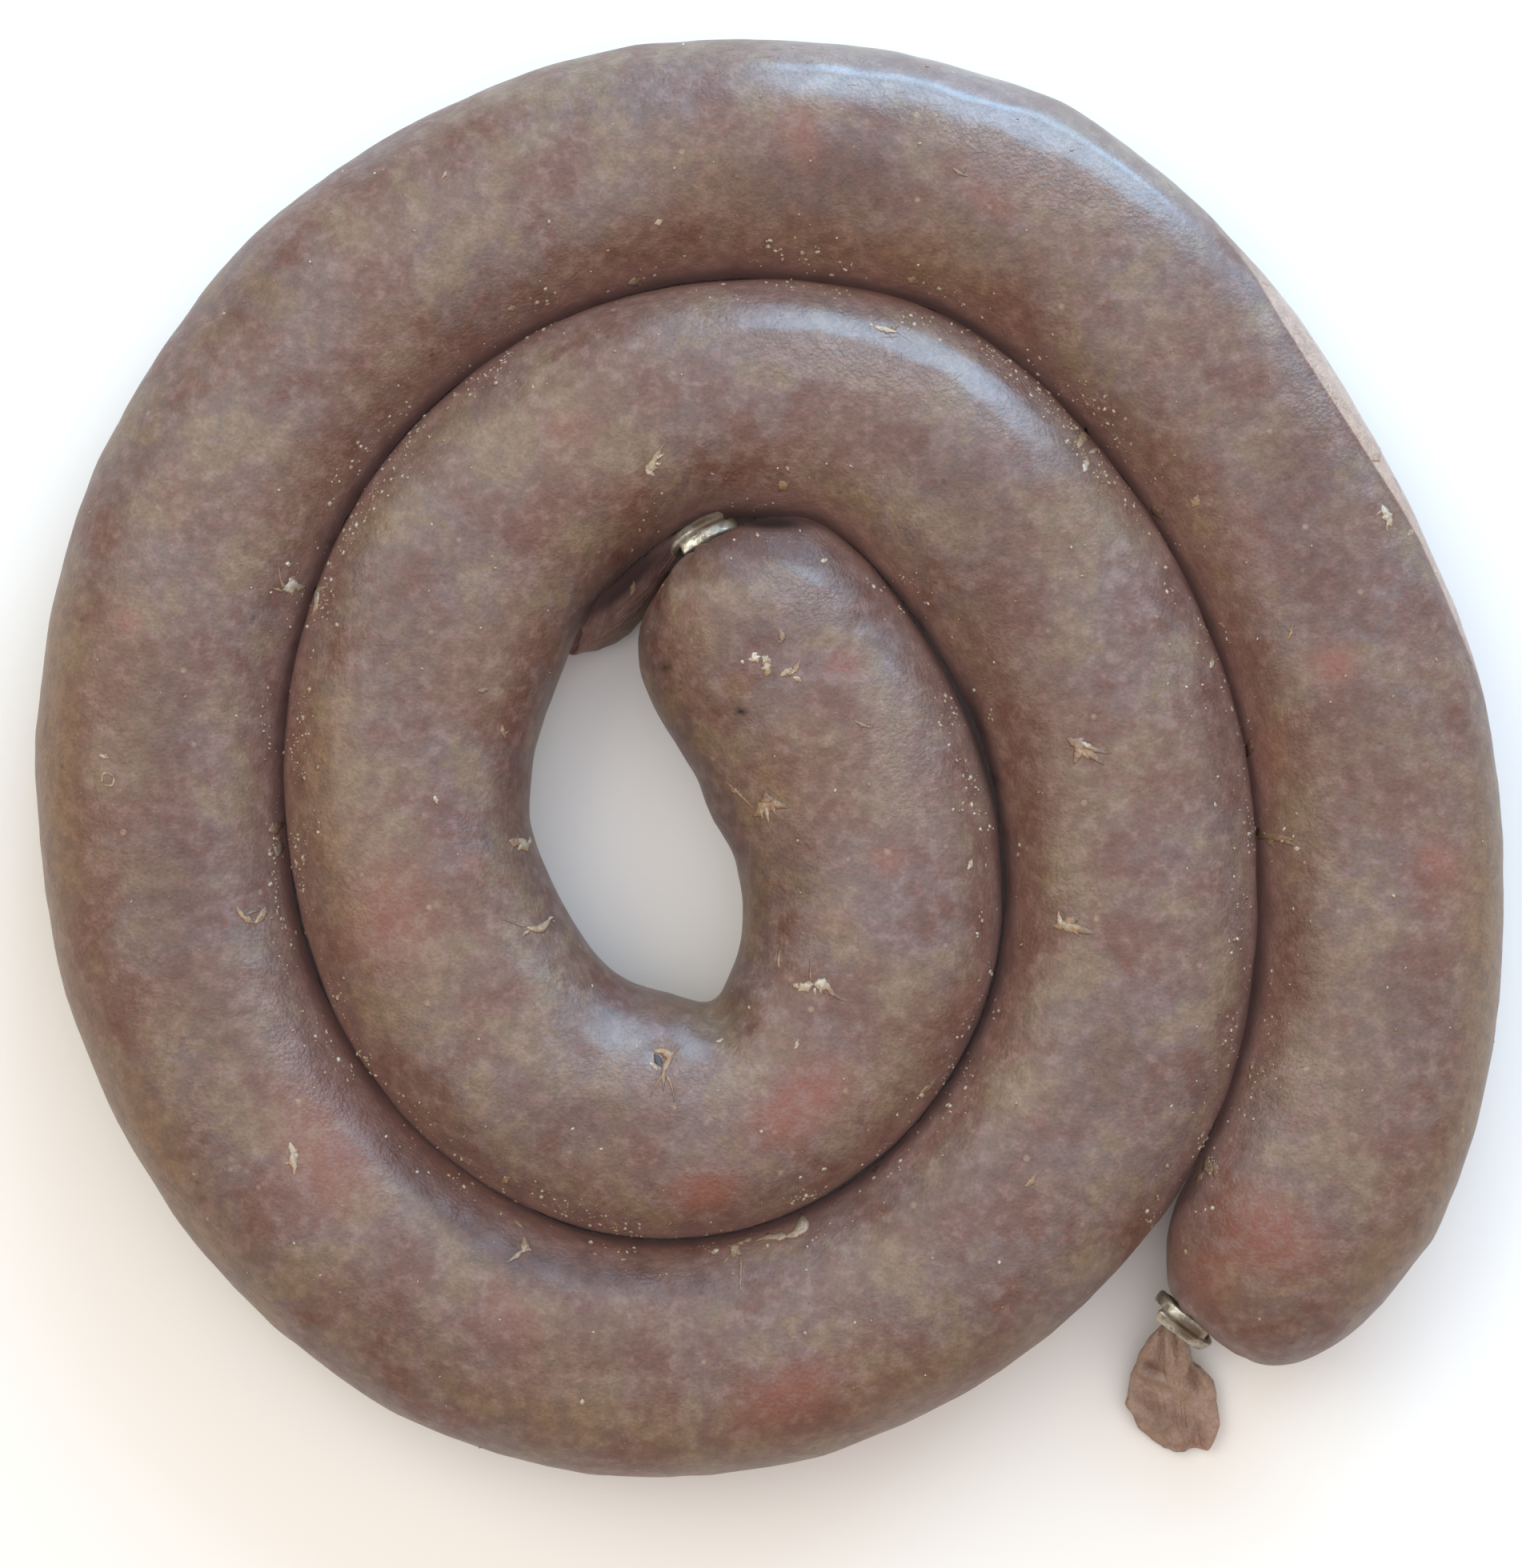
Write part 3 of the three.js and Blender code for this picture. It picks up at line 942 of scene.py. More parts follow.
# Along the right side the skin was pressed flat: outside this line it is paler, and a painted shade line
# runs along the crease.
LEDGE = Line((
    (1500, 262), (1536, 304), (1569, 346), (1598, 396), (1634, 453), (1659, 492), (1680, 524), (1712, 574),
    (1744, 624), (1773, 674), (1801, 735), (1823, 789), (1841, 831), (1857, 880), (1868, 940),
))  # fmt: skip


@dataclass(frozen=True)
class Patch:
    """A soft patch of another colour, where the photograph shows it."""

    pixel: Pixel
    size: Pixel  # half length and half width, in pixels of the photograph
    turn: float = 0  # degrees, anticlockwise
    strength: float = 1

    def share(self, seen: np.ndarray) -> np.ndarray:
        """How much of the patch shows at each point.

        Args:
            seen: The pixel of each point.

        Returns:
            A number from 0 to the strength for each point.
        """
        c, s = math.cos(math.radians(self.turn)), math.sin(math.radians(self.turn))
        from_centre = (seen - self.pixel) * (1, -1)
        x = (from_centre @ (c, s)) / self.size[0]
        y = (from_centre @ (-s, c)) / self.size[1]
        return self.strength * np.exp(-((x * x + y * y) ** 1.3) * 0.8)


BLUSHES = (
    Patch((1490, 1805), (26, 9), 5, 0.35),
    Patch((1585, 1540), (72, 46), -35, 0.95),
    Patch((1510, 1590), (42, 34), 0, 0.7),
    Patch((1000, 1380), (70, 38), 35, 1.0),
    Patch((880, 1490), (45, 28), 10, 0.9),
    Patch((485, 1150), (55, 70), 10, 0.8),
    Patch((405, 1440), (60, 85), 20, 0.7),
    Patch((990, 1740), (65, 33), 25, 0.85),
    Patch((1668, 830), (28, 24), 0, 0.95),
    Patch((160, 775), (14, 12), 0, 0.95),
    Patch((1000, 165), (26, 40), 20, 0.7),
    Patch((1230, 245), (45, 16), -35, 0.5),
    Patch((1110, 1075), (20, 17), 0, 0.9),
    Patch((1055, 832), (24, 20), 0, 0.8),
    Patch((1590, 940), (14, 30), 0, 0.7),
    Patch((1800, 1075), (26, 17), -20, 0.7),
    Patch((590, 1080), (13, 12), 0, 0.8),
    Patch((710, 535), (34, 22), 10, 0.5),
    Patch((1215, 1250), (20, 14), 0, 0.4),
    Patch((1040, 1150), (30, 20), 0, 0.35),
    Patch((640, 1640), (50, 26), -35, 0.45),
    Patch((1800, 1100), (60, 40), -60, 0.3),
    Patch((1560, 700), (60, 40), -60, 0.3),
    Patch((840, 680), (40, 14), 20, 0.3),
)
# Ochre patches: partly the skin's own tone, and along the outer rims painted warm light that falls on the
# sides.
OCHRES_AND_PAINTED_RIM_LIGHTS = (
    Patch((60, 960), (32, 420), 0, 0.95),
    Patch((165, 1400), (32, 200), 30, 0.85),
    Patch((1864, 1160), (30, 230), 0, 0.9),
    Patch((1822, 1450), (30, 120), -18, 0.85),
    Patch((1730, 1590), (30, 60), -45, 0.5),
    Patch((420, 1010), (35, 160), 5, 0.7),
    Patch((520, 1230), (50, 60), 20, 0.4),
    Patch((700, 1750), (50, 70), 0, 0.45),
    Patch((920, 860), (13, 11), 0, 1.0),
    Patch((955, 965), (14, 8), 20, 0.9),
    Patch((970, 1000), (26, 14), 10, 0.6),
    Patch((1680, 1250), (60, 110), 0, 0.3),
    Patch((880, 220), (60, 70), 0, 0.35),
    Patch((1130, 330), (120, 40), -15, 0.4),
    Patch((1410, 640), (60, 90), 30, 0.35),
    Patch((700, 1230), (30, 60), 30, 0.3),
)
# Darker patches: partly the skin's own darker tone, partly painted shade in pockets and where the skin
# lies in shadow, as beside the inner clip.
DARK_TONES_AND_PAINTED_SHADES = (
    Patch((1440, 1709), (17, 9), -20, 0.6),
    Patch((1492, 1718), (8, 17), -15, 0.5),
    Patch((1468, 1776), (34, 16), -20, 0.40),
    Patch((1436, 1752), (18, 12), -30, 0.3),
    Patch((965, 668), (85, 26), -8, 1.5),
    Patch((1000, 235), (150, 42), -3, 0.5),
    Patch((1240, 305), (90, 36), -32, 0.5),
    Patch((1255, 765), (55, 140), 25, 0.4),
    Patch((1010, 690), (60, 26), -35, 0.8),
    Patch((530, 1465), (150, 30), -43, 1.4),
    Patch((760, 1588), (120, 26), -8, 1.0),
    Patch((895, 706), (60, 20), 10, 0.6),
    Patch((1570, 880), (16, 60), 5, 0.5),
    Patch((1120, 380), (150, 16), -18, 0.35),
    Patch((195, 900), (45, 70), 0, 0.5),
    Patch((210, 1110), (45, 110), 5, 0.6),
    Patch((265, 1270), (40, 60), 25, 0.4),
    Patch((1050, 205), (75, 40), -10, 0.55),
    Patch((925, 228), (45, 30), 0, 0.45),
    Patch((1190, 600), (110, 35), -35, 0.45),
    Patch((1640, 700), (55, 120), 20, 0.45),
    Patch((1620, 560), (45, 50), 20, 0.35),
    Patch((1700, 900), (60, 60), 0, 0.35),
    Patch((1385, 1330), (35, 65), -10, 0.6),
    Patch((1620, 1190), (35, 90), 5, 0.45),
    Patch((1770, 1250), (60, 45), 0, 0.4),
    Patch((735, 1400), (70, 30), 10, 0.45),
    Patch((740, 1690), (90, 35), -5, 0.45),
    Patch((500, 1640), (80, 30), -40, 0.35),
    Patch((990, 1090), (35, 70), 10, 0.45),
    Patch((945, 780), (45, 30), 0, 0.4),
    Patch((500, 790), (45, 60), 10, 0.4),
    Patch((560, 690), (50, 35), 40, 0.3),
    Patch((640, 1010), (25, 60), 5, 0.35),
    Patch((1290, 1000), (30, 90), -5, 0.3),
    Patch((1520, 930), (22, 110), 5, 0.4),
    Patch((1160, 1500), (80, 30), 30, 0.3),
    Patch((1530, 1540), (30, 30), 0, 0.2),
    Patch((330, 380), (60, 30), 45, 0.35),
    Patch((400, 560), (60, 30), 50, 0.25),
    Patch((1250, 1700), (90, 30), 28, 0.3),
)


# Where the skin shines: it is glossier there, and its colour is lightened as a painted highlight.
SHEENS = (
    Patch((1035, 95), (95, 34), -5, 1.0),
    Patch((1270, 170), (150, 50), -32, 1.1),
    Patch((1420, 240), (80, 34), -42, 0.6),
    Patch((1080, 440), (190, 44), -14, 1.0),
    Patch((1260, 530), (80, 30), -42, 0.5),
    Patch((1000, 737), (58, 34), -20, 0.9),
    Patch((1130, 930), (50, 90), 10, 0.5),
    Patch((812, 1332), (110, 44), -10, 0.75),
    Patch((425, 1400), (150, 34), -50, 0.5),
    Patch((350, 1250), (34, 90), 15, 0.4),
    Patch((1640, 480), (40, 90), 30, 0.5),
    Patch((1620, 1360), (50, 60), 0, 0.3),
    Patch((640, 400), (90, 30), 30, 0.3),
)
# Painted shade: near-black where the skin lies deep in shadow, beside the clips and in open seams.
HOLLOW_PAINTED_SHADES = (
    Patch((960, 652), (56, 10), -3, 1.1),
    Patch((780, 729), (66, 13), 42, 1.2),
    Patch((1172, 822), (85, 8), -61, 0.5),
    Patch((1225, 925), (70, 10), -76, 1.0),
    Patch((1251, 1065), (120, 9), -84, 0.45),
    Patch((1230, 1260), (70, 9), 63, 0.5),
    Patch((1216, 410), (85, 8), -28, 0.5),
    Patch((1562, 1265), (110, 9), 77, 0.45),
    Patch((1045, 1515), (50, 12), 25, 0.3),
    Patch((832, 833), (7, 6), 0, 0.7),
    Patch((925, 890), (6, 6), 0, 0.9),
    Patch((1480, 1490), (14, 40), -30, 0.6),
)
DUSTS = (
    Patch((342, 950), (10, 130), 2, 1.0),
    Patch((372, 735), (12, 70), -20, 0.8),
    Patch((600, 445), (60, 9), 42, 0.5),
    Patch((790, 352), (60, 9), 12, 0.8),
    Patch((1368, 552), (24, 34), 30, 1.0),
    Patch((1480, 720), (9, 80), 20, 0.3),
    Patch((1160, 1366), (60, 9), 42, 0.6),
    Patch((860, 1560), (90, 8), 0, 0.5),
    Patch((1512, 1450), (12, 40), 10, 0.6),
    Patch((1020, 670), (60, 12), -30, 0.5),
)
# Painted shade on the wires, where they lie in shadow beside the necks.
PAINTED_CLIP_SHADES = (
    Patch((889, 652), (27, 9), 25, 1.0),
    Patch((926, 652), (18, 14), 0, 1.0),
    Patch((866, 654), (16, 8), 20, 0.5),
    Patch((1482, 1658), (30, 9), -25, 1.0),
    Patch((1486, 1668), (12, 9), -25, 1.0),
)


@dataclass(frozen=True)
class Lumps:
    """Soft unevenness of the skin: its size and height in millimetres."""

    size: float
    height: float
    seed: float


@dataclass
class Casing:
    """The filled casing with its necks and empty tails, as one skin."""

    view: View
    finish: CasingFinish = CasingFinish()
    levels: int = 2
    lumps: tuple[Lumps, ...] = (Lumps(30, 0.45, 1), Lumps(11, 0.22, 2), Lumps(4.5, 0.10, 3))
    rounding_loss: float = 0.19 * MM  # what smoothing takes off the tube's radius
    radius: float = 18 * MM
    tail_rings: int = 12
    pleats: int = 13
    pleat_depth: float = 0.28 * MM
    tail_crumple: float = 0.35 * MM
    crumple_size: float = 3.4 * MM
    mouth_rim: float = 0.45 * MM
    mouth_depth: float = 3.0 * MM
    other_turn: float = 70 * MM  # points further along the sausage than this are on another turn
    gap_reach: float = 30 * MM  # how far other turns are looked for
    # Ranges over which something sets in, of the height over the table or the gap to the next turn.
    off_table: Range = (0.2 * MM, 5 * MM)
    on_top: Range = (3 * MM, 12 * MM)
    on_tail: Range = (0.2 * MM, 0.9 * MM)
    apart: Range = (0.2 * MM, 2.5 * MM)
    shaded: Range = (0.5 * MM, 9 * MM)
    touching: Range = (0.6 * MM, 1.8 * MM)
    glowing: Range = (1.5 * MM, 7 * MM)
    folded: Range = (0.05 * MM, 0.5 * MM)  # the depth of a fold
    cloud_sizes: tuple[float, float] = (24 * MM, 7 * MM)
    pressed_rings: tuple[int, int] = (85, 80)  # where the pressed side starts, from the outer tip

    def build(self) -> bpy.types.Object:
        """Makes the casing.

        Returns:
            The finished piece.
        """
        self.obj = packed_copy("sausage", "casing")
        for layer in [*self.obj.data.uv_layers]:
            self.obj.data.uv_layers.remove(layer)
        self.loft = Loft(self.obj).read()
        self.keep_coordinates()
        self.clean()
        self.open_mouths()
        applied(self.obj, "SUBSURF", levels=self.levels, render_levels=self.levels, uv_smooth="NONE")
        self.sculpt()
        self.paint()
        self.obj.data.materials.clear()
        self.obj.data.materials.append(self.finish.material())
        only(self.obj)
        bpy.ops.object.shade_smooth()
        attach(self.obj, BODY)
        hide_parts("sausage")
        report(self.obj, "the filled casing, its necks and its tails")
        return self.obj

    def keep_coordinates(self) -> None:
        """Keeps at each point where it is along the sausage, its ring's middle and its way outwards."""
        points = places(self.obj)
        rings = np.array(self.loft.rings)
        middles = points[rings].mean(1)
        run = np.concatenate([[0], np.cumsum(np.linalg.norm(np.diff(middles, axis=0), axis=1))])
        count = len(rings)
        outward = points[rings[:, 0]] - points[rings[:, INNER_SIDE]]
        outward[:, 2] = 0
        outward /= np.linalg.norm(outward, axis=1)[:, None]
        for name, values in (
            ("along", run),
            ("ring", np.arange(count, dtype=float)),
            ("middle", middles),
            ("outward", outward),
        ):
            per_vertex = np.zeros((len(points), *values.shape[1:]))
            per_vertex[rings] = values[:, None]
            store(self.obj, name, per_vertex)
        self.length, self.count = run[-1], count
        gap = self.gaps(points, rings, run)
        store(self.obj, "gap", gap)
        store(self.obj, "side_gap", self.side_gaps(gap, points, rings, run, middles, outward))

    def gaps(self, points: np.ndarray, rings: np.ndarray, run: np.ndarray) -> np.ndarray:
        """How far each point is from the nearest other turn.

        Args:
            points: Where the vertices are.
            rings: The vertex in each ring and column.
            run: How far along the sausage each ring is.

        Returns:
            A distance in metres for each point, no more than the reach of the search.
        """
        along = np.zeros(len(points))
        along[rings] = run[:, None]
        tree = kdtree.KDTree(len(points))
        for i, point in enumerate(points):
            tree.insert(point, i)
        tree.balance()
        found = np.full(len(points), self.gap_reach)
        for i, point in enumerate(points):
            near = tree.find_range(point, self.gap_reach)
            others = [d for _, j, d in near if abs(along[j] - along[i]) > self.other_turn]
            found[i] = min(others, default=found[i])
        return found

    def side_gaps(
        self,
        gap: np.ndarray,
        points: np.ndarray,
        rings: np.ndarray,
        run: np.ndarray,
        middles: np.ndarray,
        outward: np.ndarray,
    ) -> np.ndarray:
        """How far the turn beside each point's own side of its ring is from that ring.

        Args:
            gap: The distance of each point from the nearest other turn, used where no ring is.
            points: Where the vertices are.
            rings: The vertex in each ring and column.
            run: How far along the sausage each ring is.
            middles: The middle of each ring.
            outward: Each ring's way outwards.

        Returns:
            A distance in metres for each point, below zero where the rings' circles overlap.
        """
        found, none_near = gap.copy(), 1.0
        columns = np.arange(SIDES)
        away = (columns <= TOP) | (columns >= 3 * TOP)
        half = np.linalg.norm(points[rings[:, 0]] - points[rings[:, INNER_SIDE]], axis=1) / 2
        between = middles[None] - middles[:, None]
        apart = np.linalg.norm(between, axis=2) - half - half[:, None]
        other = np.abs(run - run[:, None]) > self.other_turn
        beyond = (between * outward[:, None]).sum(2) > 0
        for side, there in ((rings[:, away], beyond), (rings[:, ~away], ~beyond)):
            found[side] = np.where(other & there, apart, none_near).min(1)[:, None]
        return found

    def clean(self) -> None:
        """Joins the pairs of triangles into four-sided faces."""
        chosen = np.zeros(len(self.obj.data.edges), bool)
        chosen[self.loft.spare_edges()] = True
        with editing(self.obj, "EDGE", chosen):
            bpy.ops.mesh.dissolve_edges(use_verts=False, use_face_split=False)

    def open_mouths(self) -> None:
        """Opens the flat tip of each empty tail a little way in."""
        for ring, before in ((0, 2), (self.count - 1, self.count - 3)):
            numbers = recall(self.obj, "ring")
            tip, inside = (places(self.obj)[np.abs(numbers - r) < 0.1].mean(0) for r in (ring, before))
            inwards = (inside - tip) / np.linalg.norm(inside - tip) * self.mouth_depth
            at_tip = np.abs(numbers - ring) < 0.1
            chosen = np.array([at_tip[[*face.vertices]].all() for face in self.obj.data.polygons])
            with editing(self.obj, "FACE", chosen):
                bpy.ops.mesh.inset(thickness=self.mouth_rim, use_even_offset=False)
                bpy.ops.mesh.extrude_region_move(TRANSFORM_OT_translate={"value": tuple(inwards)})

    def sculpt(self) -> None:
        """Gives the skin its lumps, pleats, wrinkles and creases."""
        points, out = places(self.obj), normals(self.obj)
        ring, gap = recall(self.obj, "ring"), recall(self.obj, "gap")
        middle, outward = recall(self.obj, "middle"), recall(self.obj, "outward")
        tail = self.tail_share(ring)
        off_floor = smooth(*self.off_table, points[:, 2])
        apart = smooth(*self.apart, gap)
        lift = np.where(tail > 0.5, 0.0, self.rounding_loss) * apart
        for lumps in self.lumps:
            heights = rough_noise(points, lumps.size * MM, lumps.seed)
            lift += heights * lumps.height * MM * off_floor * (0.25 + 0.75 * apart) * (1 - 0.7 * tail)
        turned = np.arctan2(points[:, 2] - middle[:, 2], ((points - middle) * outward).sum(1))
        lift += self.pleating(ring, turned)
        lift += tail * rough_noise(points, self.crumple_size, 7, 3) * self.tail_crumple
        seen, upper = self.view.pixels(points), smooth(-0.1, 0.35, out[:, 2])
        folds = np.zeros(len(points))
        for creases, share in ((TAIL_CREASES, tail), (BODY_CREASES, 1 - tail)):
            for crease in creases:
                folds += crease.lift(seen, self.view) * upper * share
        lift += folds
        # painted shade in the grooves of the tail's folds
        store(self.obj, "fold", 0.5 * smooth(*self.folded, -folds) * tail)
        points = points + out * lift[:, None]
        points[:, 2] = np.maximum(points[:, 2], 0)
        move_to(self.obj, points)
        store(self.obj, "turned", turned)

    def tail_share(self, ring: np.ndarray) -> np.ndarray:
        """1 on the empty tails and 0 on the rest."""
        inner = 1 - smooth(self.tail_rings, self.tail_rings + 1.5, ring)
        outer = smooth(self.count - self.tail_rings - 2.5, self.count - self.tail_rings - 1, ring)
        return np.maximum(inner, outer)

    def pleating(self, ring: np.ndarray, turned: np.ndarray) -> np.ndarray:
        """The pleats that gather the casing into each neck.

        Args:
            ring: The number of each point's ring.
            turned: Each point's angle round the tube, in radians.

        Returns:
            How far they move each point, in metres.
        """
        first = self.tail_rings + 1
        away = np.minimum(ring - first, self.count - 1 - first - ring)
        share = smooth(0, 1.5, away) * (1 - smooth(2.0, 6.0, away))
        uneven = 0.55 + 0.45 * np.sin(turned * 3 + 1.2)
        return self.pleat_depth * share * uneven * np.cos(turned * self.pleats + 0.8 * np.sin(2 * turned))

    def paint(self) -> None:
        """Keeps the numbers that the finish reads at each point."""
        points = places(self.obj)
        ring, gap, turned = (recall(self.obj, name) for name in ("ring", "gap", "turned"))
        round_it = self.radius * np.cos(turned), self.radius * np.sin(turned)
        tube = np.stack([recall(self.obj, "along"), *round_it], 1)
        store(self.obj, "tube", tube)
        tail = self.tail_share(ring)
        seen, height = self.view.pixels(points), points[:, 2]
        upper = np.maximum(smooth(*self.on_top, height), tail * smooth(*self.on_tail, height))
        # These patches give the skin's red and ochre tones, painted warm light along the rims, darker tone
        # with painted shade, the shine with its painted highlight, and near-black painted shade in the
        # crevices.
        for name, patches in (
            ("blush", BLUSHES),
            ("ochre_and_painted_rim_light", OCHRES_AND_PAINTED_RIM_LIGHTS),
            ("dark_tone_and_painted_shade", DARK_TONES_AND_PAINTED_SHADES),
            ("sheen", SHEENS),
            ("hollow_painted_shade", HOLLOW_PAINTED_SHADES),
        ):
            shares = [patch.share(seen) * upper for patch in patches]
            store(self.obj, name, np.clip(np.sum(shares, 0), 0, 1))
        large, small = self.cloud_sizes
        cloud = rough_noise(points, large, 12) + 0.6 * rough_noise(tube * (1, 0.6, 0.6), small, 13)
        store(self.obj, "cloud", smooth(-0.55, 0.55, cloud))
        inner = 1 - smooth(self.tail_rings, self.count / 2, ring)
        store(self.obj, "dry", (0.85 - 0.75 * inner) * tail)
        # painted light along the seams: lighter and redder near the next turn
        store(self.obj, "seam_painted_light", 0.8 * (1 - smooth(*self.shaded, gap)))
        # painted glow where two turns touch
        touching = 1 - smooth(*self.touching, recall(self.obj, "side_gap"))
        store(self.obj, "glow", touching * (1 - smooth(*self.glowing, gap)))
        signed, run = LEDGE.measured(seen)
        outer_turn = smooth(*(self.count - rings for rings in self.pressed_rings), ring)
        store(self.obj, "ledge", signed * self.view.pixel)
        store(self.obj, "flank", outer_turn * smooth(0, 0.2, run) * (1 - smooth(0.75, 1.0, run)))


# ---- The clips -----------------------------------------------------------------------------------


@dataclass
class Clip:
    """A crimped wire clip round a neck, dented by the tool that closed it."""

    node: str
    view: View
    dents: float = 0.12 * MM
    dent_size: float = 1.1 * MM
    bevel: float = 0.12 * MM
    levels: int = 1

    def build(self, finish: bpy.types.Material) -> bpy.types.Object:
        """Makes the clip.

        Args:
            finish: Its material.

        Returns:
            The finished piece.
        """
        obj = packed_copy(self.node, self.node + "_wire")
        widest = math.radians(60)
        with editing(obj):
            bpy.ops.mesh.tris_convert_to_quads(face_threshold=widest, shape_threshold=widest)
        sharp = math.radians(50)
        applied(obj, "BEVEL", width=self.bevel, segments=1, limit_method="ANGLE", angle_limit=sharp)
        applied(obj, "SUBSURF", levels=self.levels, render_levels=self.levels)
        points = places(obj)
        points += normals(obj) * (rough_noise(points, self.dent_size, 4, 3) * self.dents)[:, None]
        move_to(obj, points)
        seen = self.view.pixels(points)
        # painted shade where the wire lies in shadow beside the neck
        store(obj, "grime_and_painted_shade", np.clip(np.sum([patch.share(seen) for patch in PAINTED_CLIP_SHADES], 0), 0, 1))
        obj.data.materials.clear()
        obj.data.materials.append(finish)
        bpy.ops.object.shade_smooth()
        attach(obj, BODY)
        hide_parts(self.node)
        report(obj, "a crimped wire clip")
        return obj


# ---- What lies on the casing ---------------------------------------------------------------------


@dataclass
class Surface:
    """The finished casing, to place things on."""

    obj: bpy.types.Object
    view: View

    def __post_init__(self) -> None:
        """Reads the mesh once."""
        mesh = self.obj.data
        mesh.calc_loop_triangles()
        self.corners = np.array([t.vertices for t in mesh.loop_triangles])
        self.points = places(self.obj)
        self.tree = BVHTree.FromPolygons([Vector(p) for p in self.points], self.corners.tolist())
        a, b, c = (self.points[self.corners[:, k]] for k in range(3))
        cross = np.cross(b - a, c - a)
        self.areas = np.linalg.norm(cross, axis=1) / 2
        self.facing = cross / np.maximum(np.linalg.norm(cross, axis=1), 1e-20)[:, None]
        self.middles = (a + b + c) / 3

    def at_pixel(self, pixel: Pixel) -> tuple[Vector, Vector] | None:
        """The place, and the way out of the skin, that a pixel of the photograph shows."""
        hit, out, _, _ = self.tree.ray_cast(self.view.eye, self.view.ray(pixel))
        return (hit, out) if hit is not None else None

    def nearest(self, point: Vector) -> tuple[Vector, Vector]:
        """The nearest place on the skin, and the way out of it there."""
        hit, out, _, _ = self.tree.find_nearest(point)
        return hit, out

    def scattered(
        self, density: np.ndarray, count: int, rng: np.random.Generator
    ) -> list[tuple[Vector, Vector]]:
        """Random places on the skin.

        Args:
            density: How thickly they lie on each triangle.
            count: How many there are.
            rng: The source of chance.

        Returns:
            A place and the way out of the skin there, for each.
        """
        weight = self.areas * density
        chosen = rng.choice(len(weight), count, p=weight / weight.sum())
        found = []
        for face in chosen:
            r, s = rng.random(2)
            if r + s > 1:
                r, s = 1 - r, 1 - s
            a, b, c = self.points[self.corners[face]]
            found.append((Vector(a + (b - a) * r + (c - a) * s), Vector(self.facing[face])))
        return found

    def kept(self, name: str) -> np.ndarray:
        """A number kept on the skin, for each triangle."""
        return recall(self.obj, name)[self.corners].mean(1)


class Batch:
    """Many small meshes that become one piece."""

    def __init__(self) -> None:
        """Starts with none."""
        self.points: list[np.ndarray] = []
        self.faces: list[list[int]] = []
        self.tones: list[np.ndarray] = []
        self.count = 0

    def add(self, points: np.ndarray, faces: list[list[int]], tone: np.ndarray | float) -> None:
        """Adds one small mesh.

        Args:
            points: Where its vertices are.
            faces: The vertices of each face.
            tone: Its colour, from 0 to 1, for the whole of it or for each vertex.
        """
        self.faces += [[v + self.count for v in face] for face in faces]
        self.points.append(points)
        self.tones.append(np.full(len(points), tone))
        self.count += len(points)

    def piece(self, name: str, finish: bpy.types.Material) -> bpy.types.Object:
        """Makes them one object that rides with the sausage.

        Args:
            name: The piece's name.
            finish: Its material.

        Returns:
            The piece.
        """
        mesh = bpy.data.meshes.new(name)
        mesh.from_pydata(np.concatenate(self.points).tolist(), [], self.faces)
        obj = bpy.data.objects.new(name, mesh)
        bpy.context.scene.collection.objects.link(obj)
        store(obj, "tone", np.concatenate(self.tones))
        mesh.materials.append(finish)
        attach(obj, BODY)
        return obj


def primitive(adder: object, **settings: object) -> tuple[np.ndarray, list[list[int]]]:
    """The points and faces of one of Blender's primitives.

    Args:
        adder: The operator that adds it.
        **settings: The operator's settings.

    Returns:
        Its points, one row each, and its faces.
    """
    bpy.ops.object.select_all(action="DESELECT")
    adder(**settings)
    obj = bpy.context.view_layer.objects.active
    points, faces = places(obj), [list(p.vertices) for p in obj.data.polygons]
    bpy.data.objects.remove(obj)
    return points, faces


def basis(out: Vector, turn: float) -> np.ndarray:
    """Two directions along the skin and the one out of it, as the columns of a matrix.

    Args:
        out: The way out of the skin.
        turn: The angle of the first direction from the part's X axis, seen from above, in radians.

    Returns:
        A 3 by 3 matrix.
    """
    forward = Vector((math.cos(turn), math.sin(turn), 0))
    forward = (forward - out * forward.dot(out)).normalized()
    return np.array([forward, out.cross(forward), out]).T


